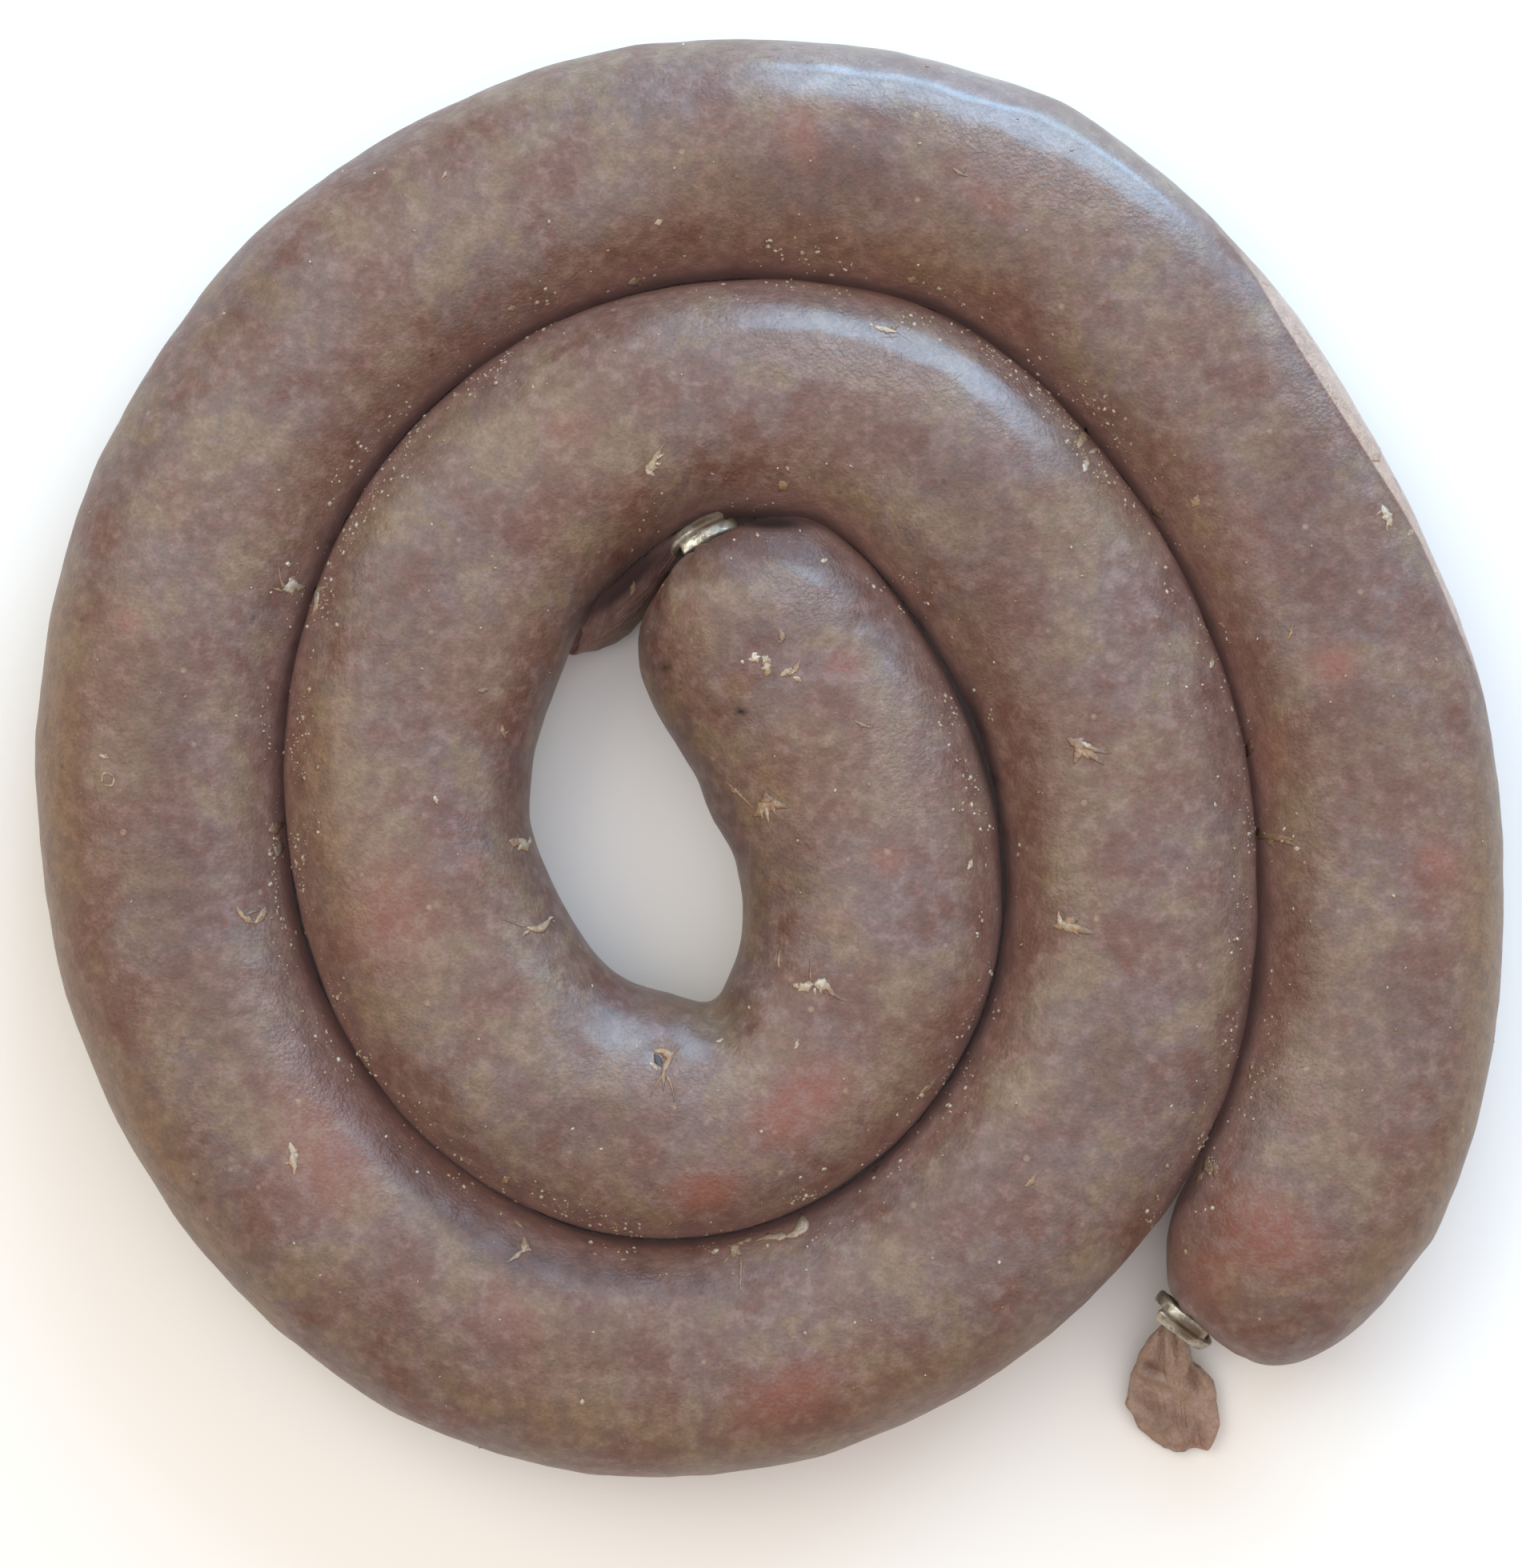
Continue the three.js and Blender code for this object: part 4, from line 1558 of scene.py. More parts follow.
@dataclass
class Crumbs:
    """Crumbs of dried juice and fat: thick along the seams and thin all over."""

    surface: Surface
    on_seams: int = 4200
    all_over: int = 1100
    sizes: tuple[float, float] = (0.055 * MM, 0.42 * MM)
    dust: float = 1.6  # how much thicker they lie where the photograph shows dust
    seam_gap: float = 4.5 * MM  # from the next turn, where they lie thickest
    seam_spread: float = 3.2 * MM
    high: Range = (16 * MM, 22 * MM)  # those along the seams lie only on the upper skin
    clump_size: float = 9 * MM
    tones: Range = (0.5, 0.95)
    seed: int = 11

    def build(self, finish: bpy.types.Material) -> bpy.types.Object:
        """Makes the crumbs.

        Args:
            finish: Their material.

        Returns:
            The piece.
        """
        rng = np.random.default_rng(self.seed)
        ball, faces = primitive(bpy.ops.mesh.primitive_ico_sphere_add, subdivisions=1, radius=1)
        gap, up = self.surface.kept("gap"), self.surface.facing[:, 2]
        seam = bell(gap, self.seam_gap, self.seam_spread) * smooth(0.05, 0.4, up)
        seam *= smooth(*self.high, self.surface.middles[:, 2]) * (0.45 + 0.55 * self.inner_side())
        seen = self.surface.view.pixels(self.surface.middles)
        dust = np.sum([patch.share(seen) for patch in DUSTS], 0) * smooth(0.0, 0.3, up) * self.dust
        # no crumbs in the painted shade of the crevices
        open_skin = np.clip(1 - 2 * self.surface.kept("hollow_painted_shade"), 0, 1)
        uneven = rough_noise(self.surface.middles, self.clump_size, 5)
        clumps = (smooth(-0.1, 0.55, uneven) + 0.06) * open_skin
        upper = smooth(0.1, 0.5, up) * open_skin
        batch = Batch()
        layers = (((seam + dust) * clumps, self.on_seams, 1.0), (upper, self.all_over, 0.7))
        for density, count, share in layers:
            for place, out in self.surface.scattered(density, count, rng):
                small, large = self.sizes
                size = small + (large - small) * rng.random() ** 4 * share
                shape = ball * rng.uniform(0.5, 1.35, 3) * (1, 1, 0.6) + rng.normal(0, 0.17, ball.shape)
                turned = shape @ basis(out, rng.random() * math.tau).T
                centre = np.array(place + out * size * 0.1)
                batch.add(centre + turned * size, faces, rng.uniform(*self.tones))
        obj = batch.piece("crumbs", finish)
        only(obj)
        bpy.ops.object.shade_smooth()
        report(obj, "crumbs along the seams and over the skin")
        return obj

    def inner_side(self) -> np.ndarray:
        """1 on the side of a turn away from the eye, where more crumbs lie, and 0 on the other."""
        return smooth(-0.2, 0.2, np.cos(self.surface.kept("turned")))


@dataclass(frozen=True)
class Ribbon:
    """A strip of torn skin along a path."""

    path: tuple[Pixel, ...]  # from the shred's own pixel, in pixels of the photograph
    width: float  # at its widest, in millimetres
    tone: float = 0.6
    fade: float = 0.35  # its tone at its end, where it goes over into the skin
    lift: float = 0.25  # how high it arches, in millimetres
    widest: float = 0.25  # where along it that is
    ragged: float = 0.35


@dataclass(frozen=True)
class Shred:
    """A torn shred of casing, where the photograph shows it."""

    pixel: Pixel
    ribbons: tuple[Ribbon, ...]


def shred(pixel: Pixel, *ribbons: Ribbon) -> Shred:
    """A shred made up of some strips."""
    return Shred(pixel, ribbons)


def torn(pixel: Pixel, size: float, turn: float, tone: float, width: float = 0.5) -> Shred:
    """A small shred: a short strip with a barb on each side.

    Args:
        pixel: Where it is.
        size: Its length, in pixels.
        turn: Its direction in degrees, anticlockwise.
        tone: Its colour.
        width: Its width as a share of its length.

    Returns:
        The shred.
    """
    c, s = math.cos(math.radians(turn)) * size / 2, math.sin(math.radians(turn)) * size / 2
    wide = width * size * View.pixel / MM
    return shred(
        pixel,
        Ribbon(((-c, s), (s * 0.15, c * 0.15), (c, -s)), wide, tone, tone * 0.75, widest=0.45),
        Ribbon(((-c * 0.3, s * 0.3), (s * 0.7, c * 0.6)), wide * 0.55, tone * 0.9),
        Ribbon(((c * 0.3, -s * 0.3), (-s * 0.5 + c * 0.5, -c * 0.6)), wide * 0.45, tone * 0.9),
    )


SHREDS = (
    shred(
        (820, 575),
        Ribbon(((-9, 16), (-6, 6), (1, -4), (5, -12), (11, -22)), 1.35, 0.78, 0.42, 0.45, 0.2, 0.45),
        Ribbon(((-13, 11), (-8, 16), (-2, 19)), 0.8, 0.95, 0.8, 0.45, 0.5),
        Ribbon(((0, -2), (5, -5), (9, -7)), 0.4, 1.0, 0.8, 0.5),
        Ribbon(((-1, 3), (4, 5), (6, 3)), 0.35, 0.95, 0.7, 0.4),
        Ribbon(((-4, 8), (1, 10), (4, 9)), 0.3, 0.7, 0.5, 0.3),
    ),
    shred(
        (1360, 935),
        Ribbon(((-6, 2), (-16, -6), (-28, -12)), 1.7, 0.58, 0.32, 0.3),
        Ribbon(((-12, -9), (-2, -3), (9, 2)), 0.6, 0.95, 0.6, 0.55, 0.6),
        Ribbon(((-8, -2), (-12, 8), (-18, 20)), 1.6, 0.66, 0.45, 0.35),
        Ribbon(((-6, 0), (6, 10), (20, 21)), 1.1, 0.6, 0.34, 0.3),
        Ribbon(((-4, -1), (10, 3), (26, 7)), 0.7, 0.5, 0.3, 0.2),
        Ribbon(((-8, 4), (-3, 9), (1, 14)), 0.6, 0.7, 0.5, 0.3),
    ),
    shred(
        (1340, 1155),
        Ribbon(((-20, 0), (-8, 3), (8, 5), (28, 13)), 1.5, 0.74, 0.4, 0.5, 0.3, 0.5),
        Ribbon(((-13, 2), (-16, -6), (-17, -16)), 0.65, 0.9, 0.6, 0.4),
        Ribbon(((-10, 2), (0, -5), (10, -9)), 1.5, 0.6, 0.36, 0.3),
        Ribbon(((-12, 2), (-19, 3), (-24, 1)), 0.9, 0.64, 0.5, 0.3),
        Ribbon(((-4, 6), (4, 10), (9, 16)), 0.5, 0.66, 0.4, 0.2),
    ),
    shred(
        (945, 1000),
        Ribbon(((14, 4), (26, 6), (40, 10)), 1.2, 0.62, 0.36, 0.35),
        Ribbon(((16, 2), (6, 12), (-4, 21)), 1.7, 0.66, 0.42, 0.35),
        Ribbon(((12, 6), (14, 18), (16, 31)), 0.55, 0.84, 0.5, 0.35),
        Ribbon(((8, 8), (7, 17), (9, 24)), 0.5, 0.78, 0.5, 0.3),
        Ribbon(((14, 6), (12, -3), (11, -12)), 1.5, 0.56, 0.32, 0.3),
        Ribbon(((20, 5), (22, 13), (27, 20)), 0.6, 0.66, 0.45, 0.3),
        Ribbon(((-4, 10), (-22, -8), (-40, -25)), 0.32, 0.62, 0.5, 0.15, 0.5, 0.2),
        Ribbon(((-32, -14), (-26, -11), (-21, -10)), 0.75, 0.62, 0.6, 0.35, 0.5),
    ),
    shred(
        (1015, 1230),
        Ribbon(((-17, 9), (-9, 3), (2, 1)), 1.6, 0.84, 0.7, 0.55, 0.5, 0.4),
        Ribbon(((2, 1), (13, 1), (26, 10)), 1.5, 0.92, 0.62, 0.6, 0.4, 0.5),
        Ribbon(((4, 5), (3, 10), (5, 15)), 0.4, 0.86, 0.6, 0.35),
        Ribbon(((10, 6), (11, 11), (10, 14)), 0.35, 0.8, 0.6, 0.35),
        Ribbon(((-2, -2), (-2, -16), (-3, -32)), 0.3, 0.5, 0.36, 0.15),
        Ribbon(((-24, 0), (-18, 4), (-14, 7)), 0.7, 0.7, 0.5, 0.3),
        Ribbon(((-41, -20), (-42, -32), (-38, -46)), 0.35, 0.66, 0.4, 0.12, 0.4),
        Ribbon(((18, 4), (28, 14), (42, 22)), 0.6, 0.45, 0.3, 0.15),
    ),
    shred(
        (955, 825),
        Ribbon(((-14, -9), (-11, -3), (-8, 3)), 1.0, 1.0, 0.9, 0.5, 0.5, 0.6),
        Ribbon(((-20, -1), (-13, 0), (-6, 1)), 0.5, 0.9, 0.6, 0.3, 0.5, 0.6),
        Ribbon(((-3, -4), (4, 0), (8, 5)), 1.3, 0.85, 0.6, 0.5, 0.5, 0.6),
        Ribbon(((0, 2), (3, 10), (1, 21)), 1.5, 0.8, 0.5, 0.45, 0.4, 0.6),
        Ribbon(((20, 20), (30, 15), (42, 14)), 1.0, 0.75, 0.5, 0.3, 0.5, 0.7),
        Ribbon(((32, 18), (40, 10), (44, 1)), 0.6, 0.85, 0.5, 0.3, 0.5, 0.6),
        Ribbon(((36, 22), (42, 24), (46, 28)), 0.6, 0.85, 0.6, 0.3, 0.5, 0.6),
        Ribbon(((18, -38), (22, -30), (20, -20)), 0.9, 0.5, 0.35, 0.25, 0.5, 0.5),
    ),
    shred(
        (362, 735),
        Ribbon(((-8, 3), (2, -3), (12, 0), (20, -1)), 1.7, 0.92, 0.7, 0.55, 0.4, 0.5),
        Ribbon(((-6, 2), (-12, -14), (-14, -36)), 0.4, 0.66, 0.4, 0.2, 0.1),
        Ribbon(((-8, 4), (-16, 2), (-25, -1)), 0.4, 0.6, 0.4, 0.2),
        Ribbon(((0, -8), (3, -12), (6, -14)), 0.5, 0.86, 0.6, 0.3),
        Ribbon(((30, -2), (35, 8), (31, 24), (24, 40)), 0.85, 0.86, 0.6, 0.35, 0.25, 0.5),
        Ribbon(((34, 3), (42, 0), (48, -2)), 0.5, 0.85, 0.7, 0.3),
        Ribbon(((-5, -31), (-2, -30), (1, -31)), 0.6, 0.95, 0.8, 0.4, 0.5),
    ),
    shred(
        (828, 1322),
        Ribbon(((-11, -8), (-2, -9), (7, -4), (9, 4), (4, 14)), 1.25, 0.66, 0.55, 0.55, 0.4, 0.3),
        Ribbon(((6, 2), (2, 18), (1, 42)), 0.8, 0.58, 0.34, 0.3, 0.1),
        Ribbon(((2, 18), (-8, 34), (-16, 50)), 0.32, 0.5, 0.32, 0.15),
        Ribbon(((3, 20), (12, 38), (14, 56)), 0.32, 0.5, 0.32, 0.15),
        Ribbon(((8, 0), (14, -7), (22, -12)), 0.4, 0.6, 0.35, 0.2),
        # tone 0: a dark crescent of painted shade beside this shred
        Ribbon(((-10, -5), (-6, 3), (-1, 12)), 0.9, 0.0, 0.0, 0.08, 0.5, 0.2),
        Ribbon(((-17, 6), (-11, 10), (-5, 17)), 0.7, 0.8, 0.5, 0.15, 0.5, 0.2),
    ),
    shred(
        (1592, 1046),
        Ribbon(((-26, -3), (-12, 0), (4, 0), (24, 4)), 1.5, 0.56, 0.5, 0.45, 0.3, 0.5),
        Ribbon(((-24, -5), (-20, -8), (-18, -12)), 0.6, 0.5, 0.4, 0.3),
        Ribbon(((-6, 2), (-4, 8), (-1, 13)), 0.9, 0.56, 0.4, 0.3),
        Ribbon(((10, 2), (20, 8), (28, 12)), 0.6, 0.52, 0.4, 0.25),
        Ribbon(((25, 14), (29, 15), (32, 14)), 0.6, 0.95, 0.85, 0.3, 0.5),
    ),
    shred(
        (985, 1535),
        Ribbon(((16, -18), (18, -6), (10, 6), (-4, 11)), 1.6, 0.84, 0.76, 0.6, 0.4, 0.3),
        Ribbon(((-2, 11), (-20, 11), (-42, 16)), 0.9, 0.78, 0.62, 0.35, 0.2, 0.7),
        Ribbon(((-10, -10), (-5, -8), (1, -5)), 1.1, 0.7, 0.5, 0.3, 0.5),
        Ribbon(((-44, 12), (-58, 18), (-72, 24)), 0.5, 0.74, 0.55, 0.25, 0.5, 0.8),
    ),
    shred(
        (676, 1157),
        Ribbon(((-18, 2), (-4, 4), (6, 0), (11, -10)), 1.15, 0.68, 0.72, 0.6, 0.5, 0.25),
        Ribbon(((-16, 2), (-30, -2), (-48, -8)), 0.3, 0.45, 0.32, 0.12),
        Ribbon(((-14, 6), (-22, 12), (-24, 14)), 0.5, 0.66, 0.45, 0.25),
        Ribbon(((10, -8), (14, -10), (16, -10)), 0.35, 0.85, 0.7, 0.4),
    ),
    shred(
        (918, 1565),
        Ribbon(((-4, -8), (2, -2), (8, 2)), 1.1, 0.82, 0.6, 0.5, 0.4, 0.5),
        Ribbon(((0, -4), (-2, 4), (0, 12)), 0.9, 0.62, 0.45, 0.3),
        Ribbon(((7, 4), (8, 24), (6, 48), (3, 72)), 0.36, 0.52, 0.36, 0.15, 0.1, 0.2),
        Ribbon(((-14, 14), (-8, 6), (-2, 2)), 0.4, 0.5, 0.4, 0.2),
        Ribbon(((-20, -2), (-28, 0), (-34, -4)), 0.5, 0.76, 0.55, 0.25, 0.5, 0.8),
    ),
    shred(
        (650, 1055),
        Ribbon(((-2, -6), (5, 2), (8, 9)), 1.7, 0.78, 0.6, 0.6, 0.5, 0.4),
        Ribbon(((-14, -4), (-6, -2), (2, 2)), 1.1, 0.6, 0.5, 0.4, 0.5),
        Ribbon(((10, 0), (12, -6), (11, -10)), 0.4, 0.8, 0.6, 0.4),
    ),
    shred(
        (320, 1147),
        Ribbon(((-24, -14), (-14, 0), (-2, 7)), 0.9, 0.64, 0.56, 0.4, 0.6, 0.4),
        Ribbon(((-2, 7), (6, 0), (11, -14)), 1.0, 0.66, 0.6, 0.4, 0.6, 0.4),
        Ribbon(((-12, -4), (0, -8), (8, -10)), 0.35, 0.5, 0.35, 0.15),
    ),
    shred(
        (655, 1558),
        Ribbon(((-1, -12), (1, -2), (-3, 8)), 1.4, 0.6, 0.56, 0.45, 0.6, 0.4),
        Ribbon(((-2, 4), (-12, 14), (-24, 21)), 0.8, 0.5, 0.34, 0.25),
        Ribbon(((2, 2), (7, 4), (10, 4)), 0.6, 0.6, 0.45, 0.3),
        Ribbon(((-12, -32), (-4, -27), (1, -20)), 0.55, 0.6, 0.4, 0.2, 0.5),
    ),
    shred(
        (978, 607),
        Ribbon(((-6, -2), (0, 0), (4, 6)), 1.5, 0.58, 0.56, 0.5, 0.5, 0.5),
        Ribbon(((2, -6), (0, 0), (-2, 7)), 0.9, 0.62, 0.5, 0.4, 0.5, 0.5),
        Ribbon(((0, 0), (7, -3), (9, -6)), 0.4, 0.7, 0.5, 0.3),
        Ribbon(((4, -24), (7, -20), (8, -16)), 0.5, 0.66, 0.5, 0.3, 0.5),
    ),
    shred(
        (365, 1450),
        Ribbon(((-3, -22), (1, -6), (3, 8), (2, 20)), 1.2, 0.84, 0.7, 0.45, 0.5, 0.4),
        Ribbon(((2, 0), (-6, 4), (-12, 6)), 0.5, 0.7, 0.5, 0.25),
        Ribbon(((0, -8), (7, -12), (10, -14)), 0.4, 0.7, 0.5, 0.25),
    ),
    shred(
        (1106, 411),
        Ribbon(((-14, -3), (-2, 0), (8, 3), (16, 4)), 0.85, 0.82, 0.74, 0.4, 0.5, 0.6),
        Ribbon(((-20, -6), (-17, -5), (-14, -4)), 0.5, 0.8, 0.7, 0.3, 0.5),
    ),
    shred(
        (1733, 645),
        Ribbon(((-6, -14), (-1, -4), (5, 14)), 1.1, 0.86, 0.72, 0.3, 0.5, 0.5),
        Ribbon(((-6, -6), (-12, -2), (-15, 2)), 0.35, 0.6, 0.4, 0.2),
        Ribbon(((4, 6), (0, 14), (1, 20)), 0.4, 0.7, 0.5, 0.2),
    ),
    shred(
        (135, 975),
        Ribbon(((-7, 4), (-8, -5), (0, -9), (7, -4)), 0.32, 0.75, 0.6, 0.2, 0.5, 0.2),
        Ribbon(((7, -4), (7, 5), (0, 8), (-6, 4)), 0.32, 0.7, 0.6, 0.2, 0.5, 0.2),
    ),
    shred(
        (1510, 1462),
        Ribbon(((-4, -16), (0, -2), (2, 10)), 1.3, 0.6, 0.4, 0.2, 0.5, 0.6),
        Ribbon(((6, -12), (9, 0), (8, 12)), 0.7, 0.56, 0.36, 0.2, 0.5, 0.7),
        Ribbon(((-6, 4), (-12, 12), (-16, 18)), 0.5, 0.6, 0.4, 0.2, 0.5, 0.6),
    ),
    torn((1352, 546), 30, 70, 0.7, 0.35),
    torn((1356, 580), 20, 80, 0.9, 0.4),
    torn((1368, 562), 16, 30, 0.8, 0.4),
    torn((345, 1033), 22, 30, 0.7, 0.55),
    torn((347, 1058), 26, 80, 0.8, 0.35),
    torn((1160, 1357), 28, 42, 0.6, 0.22),
    torn((1212, 1080), 16, 70, 0.85, 0.3),
    torn((1447, 640), 24, -55, 0.56, 0.3),
    torn((1560, 935), 24, 80, 0.5, 0.3),
    torn((1493, 626), 18, 65, 0.64, 0.55),
    torn((793, 351), 16, 20, 0.85, 0.6),
    torn((823, 277), 11, 30, 0.85, 0.6),
    torn((640, 385), 12, 10, 0.6, 0.5),
    torn((1141, 350), 15, -20, 0.62, 0.5),
    torn((790, 735), 18, 80, 0.72, 0.35),
    torn((630, 915), 18, -75, 0.6, 0.3),
    torn((545, 1000), 11, -70, 0.85, 0.4),
    torn((604, 862), 13, 10, 0.52, 0.45),
    torn((1288, 1475), 22, 50, 0.56, 0.3),
    torn((1514, 828), 14, 80, 0.8, 0.4),
    torn((1720, 571), 14, 40, 0.66, 0.5),
    torn((1762, 665), 11, 60, 0.7, 0.5),
    torn((1612, 790), 20, 70, 0.6, 0.16),
    torn((555, 218), 10, 60, 0.7, 0.4),
    torn((1030, 700), 10, 20, 0.8, 0.5),
    torn((1095, 1461), 12, 0, 0.72, 0.9),
    torn((632, 1474), 12, 30, 0.7, 0.6),
    torn((1152, 1368), 8, 30, 0.95, 0.6),
    torn((728, 1752), 6, 0, 1.0, 0.9),
    torn((130, 945), 13, -20, 0.8, 0.4),
    torn((1080, 905), 26, -20, 0.5, 0.14),
    torn((1200, 215), 22, -30, 0.5, 0.14),
    torn((900, 1300), 12, 20, 0.75, 0.3),
    torn((995, 1305), 14, 70, 0.85, 0.3),
)


@dataclass
class Shreds:
    """Torn shreds of casing that lie on the skin, and go over into it at their ends."""

    surface: Surface
    steps: tuple[int, int] = (15, 5)  # points along and across each strip
    thickness: float = 0.07 * MM
    sunk: float = 0.02 * MM  # how far a strip's edges lie in the skin
    flat: float = 0.5  # what the arches keep of their height
    wide: float = 1.25
    uneven: float = 0.10  # of the tones
    uneven_size: float = 0.9 * MM
    seed: int = 23

    def build(self, finish: bpy.types.Material) -> bpy.types.Object:
        """Makes the shreds.

        Args:
            finish: Their material.

        Returns:
            The piece.
        """
        grid, faces = primitive(
            bpy.ops.mesh.primitive_grid_add,
            x_subdivisions=self.steps[0] - 1,
            y_subdivisions=self.steps[1] - 1,
            size=1,
        )
        grid = grid[:, :2] + 0.5
        batch = Batch()
        seed = self.seed
        for each in SHREDS:
            for ribbon in each.ribbons:
                seed += 1
                points = self.laid(each.pixel, ribbon, grid, seed)
                if points is None:
                    LOG.warning("a strip of the shred at %s misses the casing", each.pixel)
                    continue
                along = grid[:, 0]
                edge = np.abs(grid[:, 1] * 2 - 1)
                tones = ribbon.tone + (ribbon.fade - ribbon.tone) * smooth(0.25, 1.0, along)
                tones += self.uneven * (rough_noise(points, self.uneven_size, 3) - edge)
                batch.add(points, faces, np.clip(tones, 0, 1))
        obj = batch.piece("shreds", finish)
        applied(obj, "SOLIDIFY", thickness=self.thickness, offset=1)
        only(obj)
        bpy.ops.object.shade_smooth()
        report(obj, "torn shreds of casing")
        return obj

    def laid(self, pixel: Pixel, ribbon: Ribbon, grid: np.ndarray, seed: int) -> np.ndarray | None:
        """Lays a strip on the skin along its path.

        Args:
            pixel: The pixel that the path is measured from.
            ribbon: The strip's sizes.
            grid: Points from 0 to 1 along and across it.
            seed: The number of its random outline.

        Returns:
            Its points, or None where the path misses the skin.
        """
        path = np.array(ribbon.path, float) + pixel
        run = np.concatenate([[0], np.cumsum(np.linalg.norm(np.diff(path, axis=0), axis=1))])
        run /= run[-1]
        order = min(len(path) - 1, 2)
        curve = [np.poly1d(np.polyfit(run, path[:, k], order)) for k in (0, 1)]
        along, across = grid[:, 0], grid[:, 1] * 2 - 1
        middle = np.stack([c(along) for c in curve], 1)
        way = np.stack([c.deriv()(along) for c in curve], 1)
        way /= np.linalg.norm(way, axis=1)[:, None]
        side = np.stack([way[:, 1], -way[:, 0]], 1)
        swell = np.minimum((along / ribbon.widest) ** 0.6, ((1 - along) / (1 - ribbon.widest)) ** 0.75)
        number = np.full(len(grid), float(seed))
        ragged = rough_noise(np.stack([along * 2.2, np.sign(across) * 3, number], 1), 0.5, seed, 3)
        half = self.wide * ribbon.width / 2 * MM / self.surface.view.pixel * np.clip(swell, 0.06, 1)
        seen = middle + side * (across * half * (1 + ribbon.ragged * 1.6 * ragged))[:, None]
        crumple = rough_noise(np.stack([along * 2, across, number], 1), 0.6, seed + 0.5)
        arch = (1 - across**2) * np.clip(swell, 0, 1) * (1 + 0.9 * crumple)
        height = self.flat * ribbon.lift * MM * np.clip(arch, 0, 2) - self.sunk
        points = []
        for spot, lift in zip(seen, height):
            found = self.surface.at_pixel(tuple(spot))
            if found is None:
                return None
            points.append(np.array(found[0] + found[1] * lift))
        return np.array(points)


@dataclass
class Threads:
    """Hair-thin fibres, round the larger shreds and loose over the skin."""

    surface: Surface
    loose: int = 240
    large_shreds: int = 18  # the first ones of the list
    on_each: int = 4
    lengths: Range = (1.5 * MM, 5 * MM)
    loose_lengths: Range = (1 * MM, 4.5 * MM)
    radius: float = 0.04 * MM
    step: float = 0.5 * MM
    clump_size: float = 14 * MM
    tone_size: float = 12 * MM
    seed: int = 31

    def build(self, finish: bpy.types.Material) -> bpy.types.Object:
        """Makes the threads.

        Args:
            finish: Their material.

        Returns:
            The piece.
        """
        rng = np.random.default_rng(self.seed)
        curve = bpy.data.curves.new("threads", "CURVE")
        curve.dimensions = "3D"
        curve.bevel_depth = 1.0
        curve.bevel_resolution = 0
        curve.resolution_u = 1
        for large in SHREDS[: self.large_shreds]:
            found = self.surface.at_pixel(large.pixel)
            for _ in range(self.on_each):
                start = found[0] + Vector((rng.normal(0, 1.2), rng.normal(0, 1.2), 0)) * MM
                self.lay(curve, start, rng.random() * math.tau, rng.uniform(*self.lengths), rng)
        clumps = smooth(-0.1, 0.6, rough_noise(self.surface.middles, self.clump_size, 8))
        upper = smooth(0.15, 0.6, self.surface.facing[:, 2]) * (clumps + 0.1)
        for place, _ in self.surface.scattered(upper, self.loose, rng):
            self.lay(curve, place, rng.normal(0.9, 0.8), rng.uniform(*self.loose_lengths), rng)
        obj = bpy.data.objects.new("threads", curve)
        bpy.context.scene.collection.objects.link(obj)
        only(obj)
        bpy.ops.object.convert(target="MESH")
        obj = bpy.context.view_layer.objects.active
        obj.name = obj.data.name = "threads"
        tones = 0.5 + 0.25 * rough_noise(places(obj), self.tone_size, 9)
        store(obj, "tone", np.clip(tones, 0.36, 0.85))
        obj.data.materials.clear()
        obj.data.materials.append(finish)
        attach(obj, BODY)
        report(obj, "thin fibres on the skin")
        return obj

    def lay(
        self, curve: bpy.types.Curve, start: Vector, way: float, length: float, rng: np.random.Generator
    ) -> None:
        """Lays one thread on the skin.

        Args:
            curve: Where it is added.
            start: Where it starts.
            way: Its direction seen from above, in radians.
            length: How long it is.
            rng: The source of chance.
        """
        place, line = start, []
        steps = max(4, int(length / self.step))
        for _ in range(steps):
            hit, out = self.surface.nearest(place)
            line.append(hit + out * self.radius * 0.4)
            forward = basis(out, way)[:, 0]
            place = hit + Vector(forward) * self.step
            way += rng.normal(0, 0.16)
        spline = curve.splines.new("POLY")
        spline.points.add(len(line) - 1)
        for k, point in enumerate(line):
            spline.points[k].co = (*point, 1)
            share = k / (len(line) - 1)
            spline.points[k].radius = self.radius * (0.35 + 0.65 * math.sin(math.pi * share))


# ---- The studio ----------------------------------------------------------------------------------


@dataclass(frozen=True)
class Lamp:
    """A soft rectangular light. Places are in metres, and it looks at the middle of the coil."""

    name: str
    azimuth: float  # degrees from the X axis, anticlockwise
    elevation: float
    distance: float
    size: tuple[float, float]
    colour: Triple
    power: float

    def build(self) -> None:
        """Makes the light."""
        data = bpy.data.lights.new(self.name, "AREA")
        data.shape, (data.size, data.size_y) = "RECTANGLE", self.size
        data.color, data.energy = self.colour, self.power
        lamp = bpy.data.objects.new(self.name, data)
        a, e = math.radians(self.azimuth), math.radians(self.elevation)
        way = Vector((math.cos(a) * math.cos(e), math.sin(a) * math.cos(e), math.sin(e)))
        lamp.location = way * self.distance
        lamp.rotation_euler = way.to_track_quat("Z", "Y").to_euler()
        bpy.context.scene.collection.objects.link(lamp)


LAMPS = (
    Lamp("low_window", 66, 8, 1.0, (0.84, 0.2), (0.37, 0.69, 1.0), 6.5),
    Lamp("window", 66, 31, 1.0, (0.84, 0.5), (0.42, 0.72, 1.0), 9.2),
    Lamp("upper_left", 150, 50, 1.2, (0.8, 0.8), (1.0, 1.0, 0.84), 4.8),
    Lamp("right", 345, 38, 1.2, (0.9, 0.7), (0.95, 0.92, 0.88), 1.8),
)


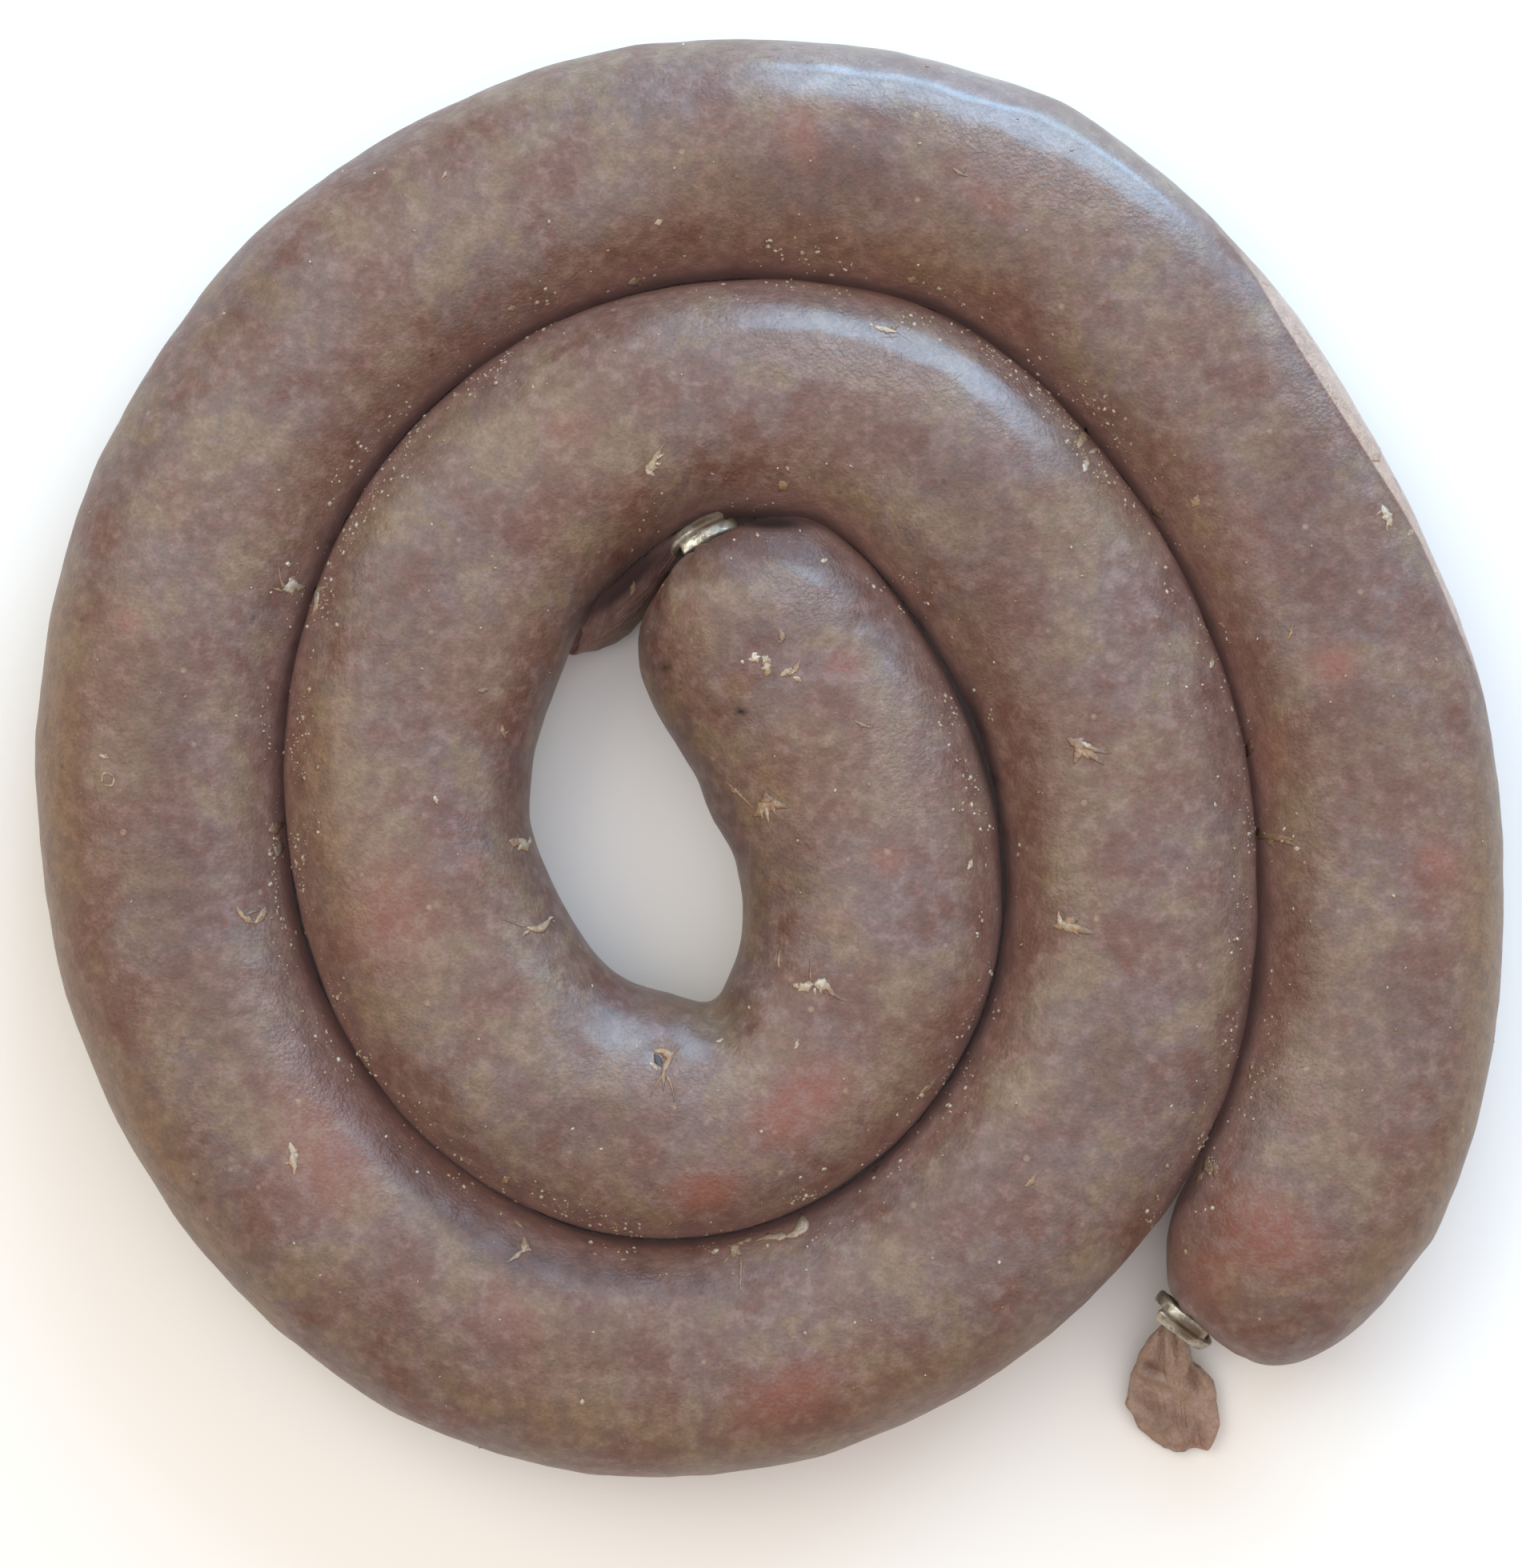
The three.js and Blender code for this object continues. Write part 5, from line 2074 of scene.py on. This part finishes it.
@dataclass
class Studio:
    """A pale table and soft light: a window at the upper right, and a room that is brightest above."""

    table: float = 6.0
    low: Triple = (0.52, 0.375, 0.21)
    high: Triple = (1.25, 1.38, 1.64)  # added overhead
    gather: float = 4.0  # how closely that light gathers overhead

    def build(self) -> None:
        """Makes the table, the lights and the sky."""
        bpy.ops.object.select_all(action="DESELECT")
        bpy.ops.mesh.primitive_plane_add(size=self.table)
        floor = bpy.context.view_layer.objects.active
        floor.name = floor.data.name = "table"
        floor.data.materials.append(TableFinish().material())
        for lamp in LAMPS:
            lamp.build()
        bpy.context.scene.world = self.sky()
        bpy.context.scene.view_settings.view_transform = "Standard"

    def sky(self) -> bpy.types.World:
        """Makes the light of the room.

        Returns:
            The world.
        """
        world = bpy.data.worlds.new("soft_sky")
        world.use_nodes = True
        tree = world.node_tree
        nodes, link = tree.nodes, tree.links.new
        height = nodes.new("ShaderNodeSeparateXYZ")
        link(nodes.new("ShaderNodeTexCoord").outputs["Generated"], height.inputs[0])
        share = height.outputs["Z"]
        for operation, value in (("MAXIMUM", 0), ("POWER", self.gather)):
            step = nodes.new("ShaderNodeMath")
            step.operation = operation
            link(share, step.inputs[0])
            step.inputs[1].default_value = value
            share = step.outputs[0]
        light = nodes.new("ShaderNodeMix")
        light.data_type, light.clamp_factor = "RGBA", False
        link(share, light.inputs["Factor"])
        light.inputs["A"].default_value = (*self.low, 1)
        light.inputs["B"].default_value = (*(a + b for a, b in zip(self.low, self.high)), 1)
        link(light.outputs["Result"], nodes["Background"].inputs["Color"])
        return world


def main() -> None:
    """Builds the sausage, what lies on it and the studio."""
    logging.basicConfig(level=logging.INFO, format="%(name)s: %(message)s")
    view = View()
    view.build()
    Studio().build()
    casing = Casing(view).build()
    wire = WireFinish().material()
    for node in ("clip_inner", "clip_outer"):
        Clip(node, view).build(wire)
    surface = Surface(casing, view)
    torn_skin = BitFinish("torn_casing").material()
    Crumbs(surface).build(BitFinish("crumb", roughness=0.35).material())
    Shreds(surface).build(torn_skin)
    Threads(surface).build(torn_skin)


if __name__ == "__main__":
    main()
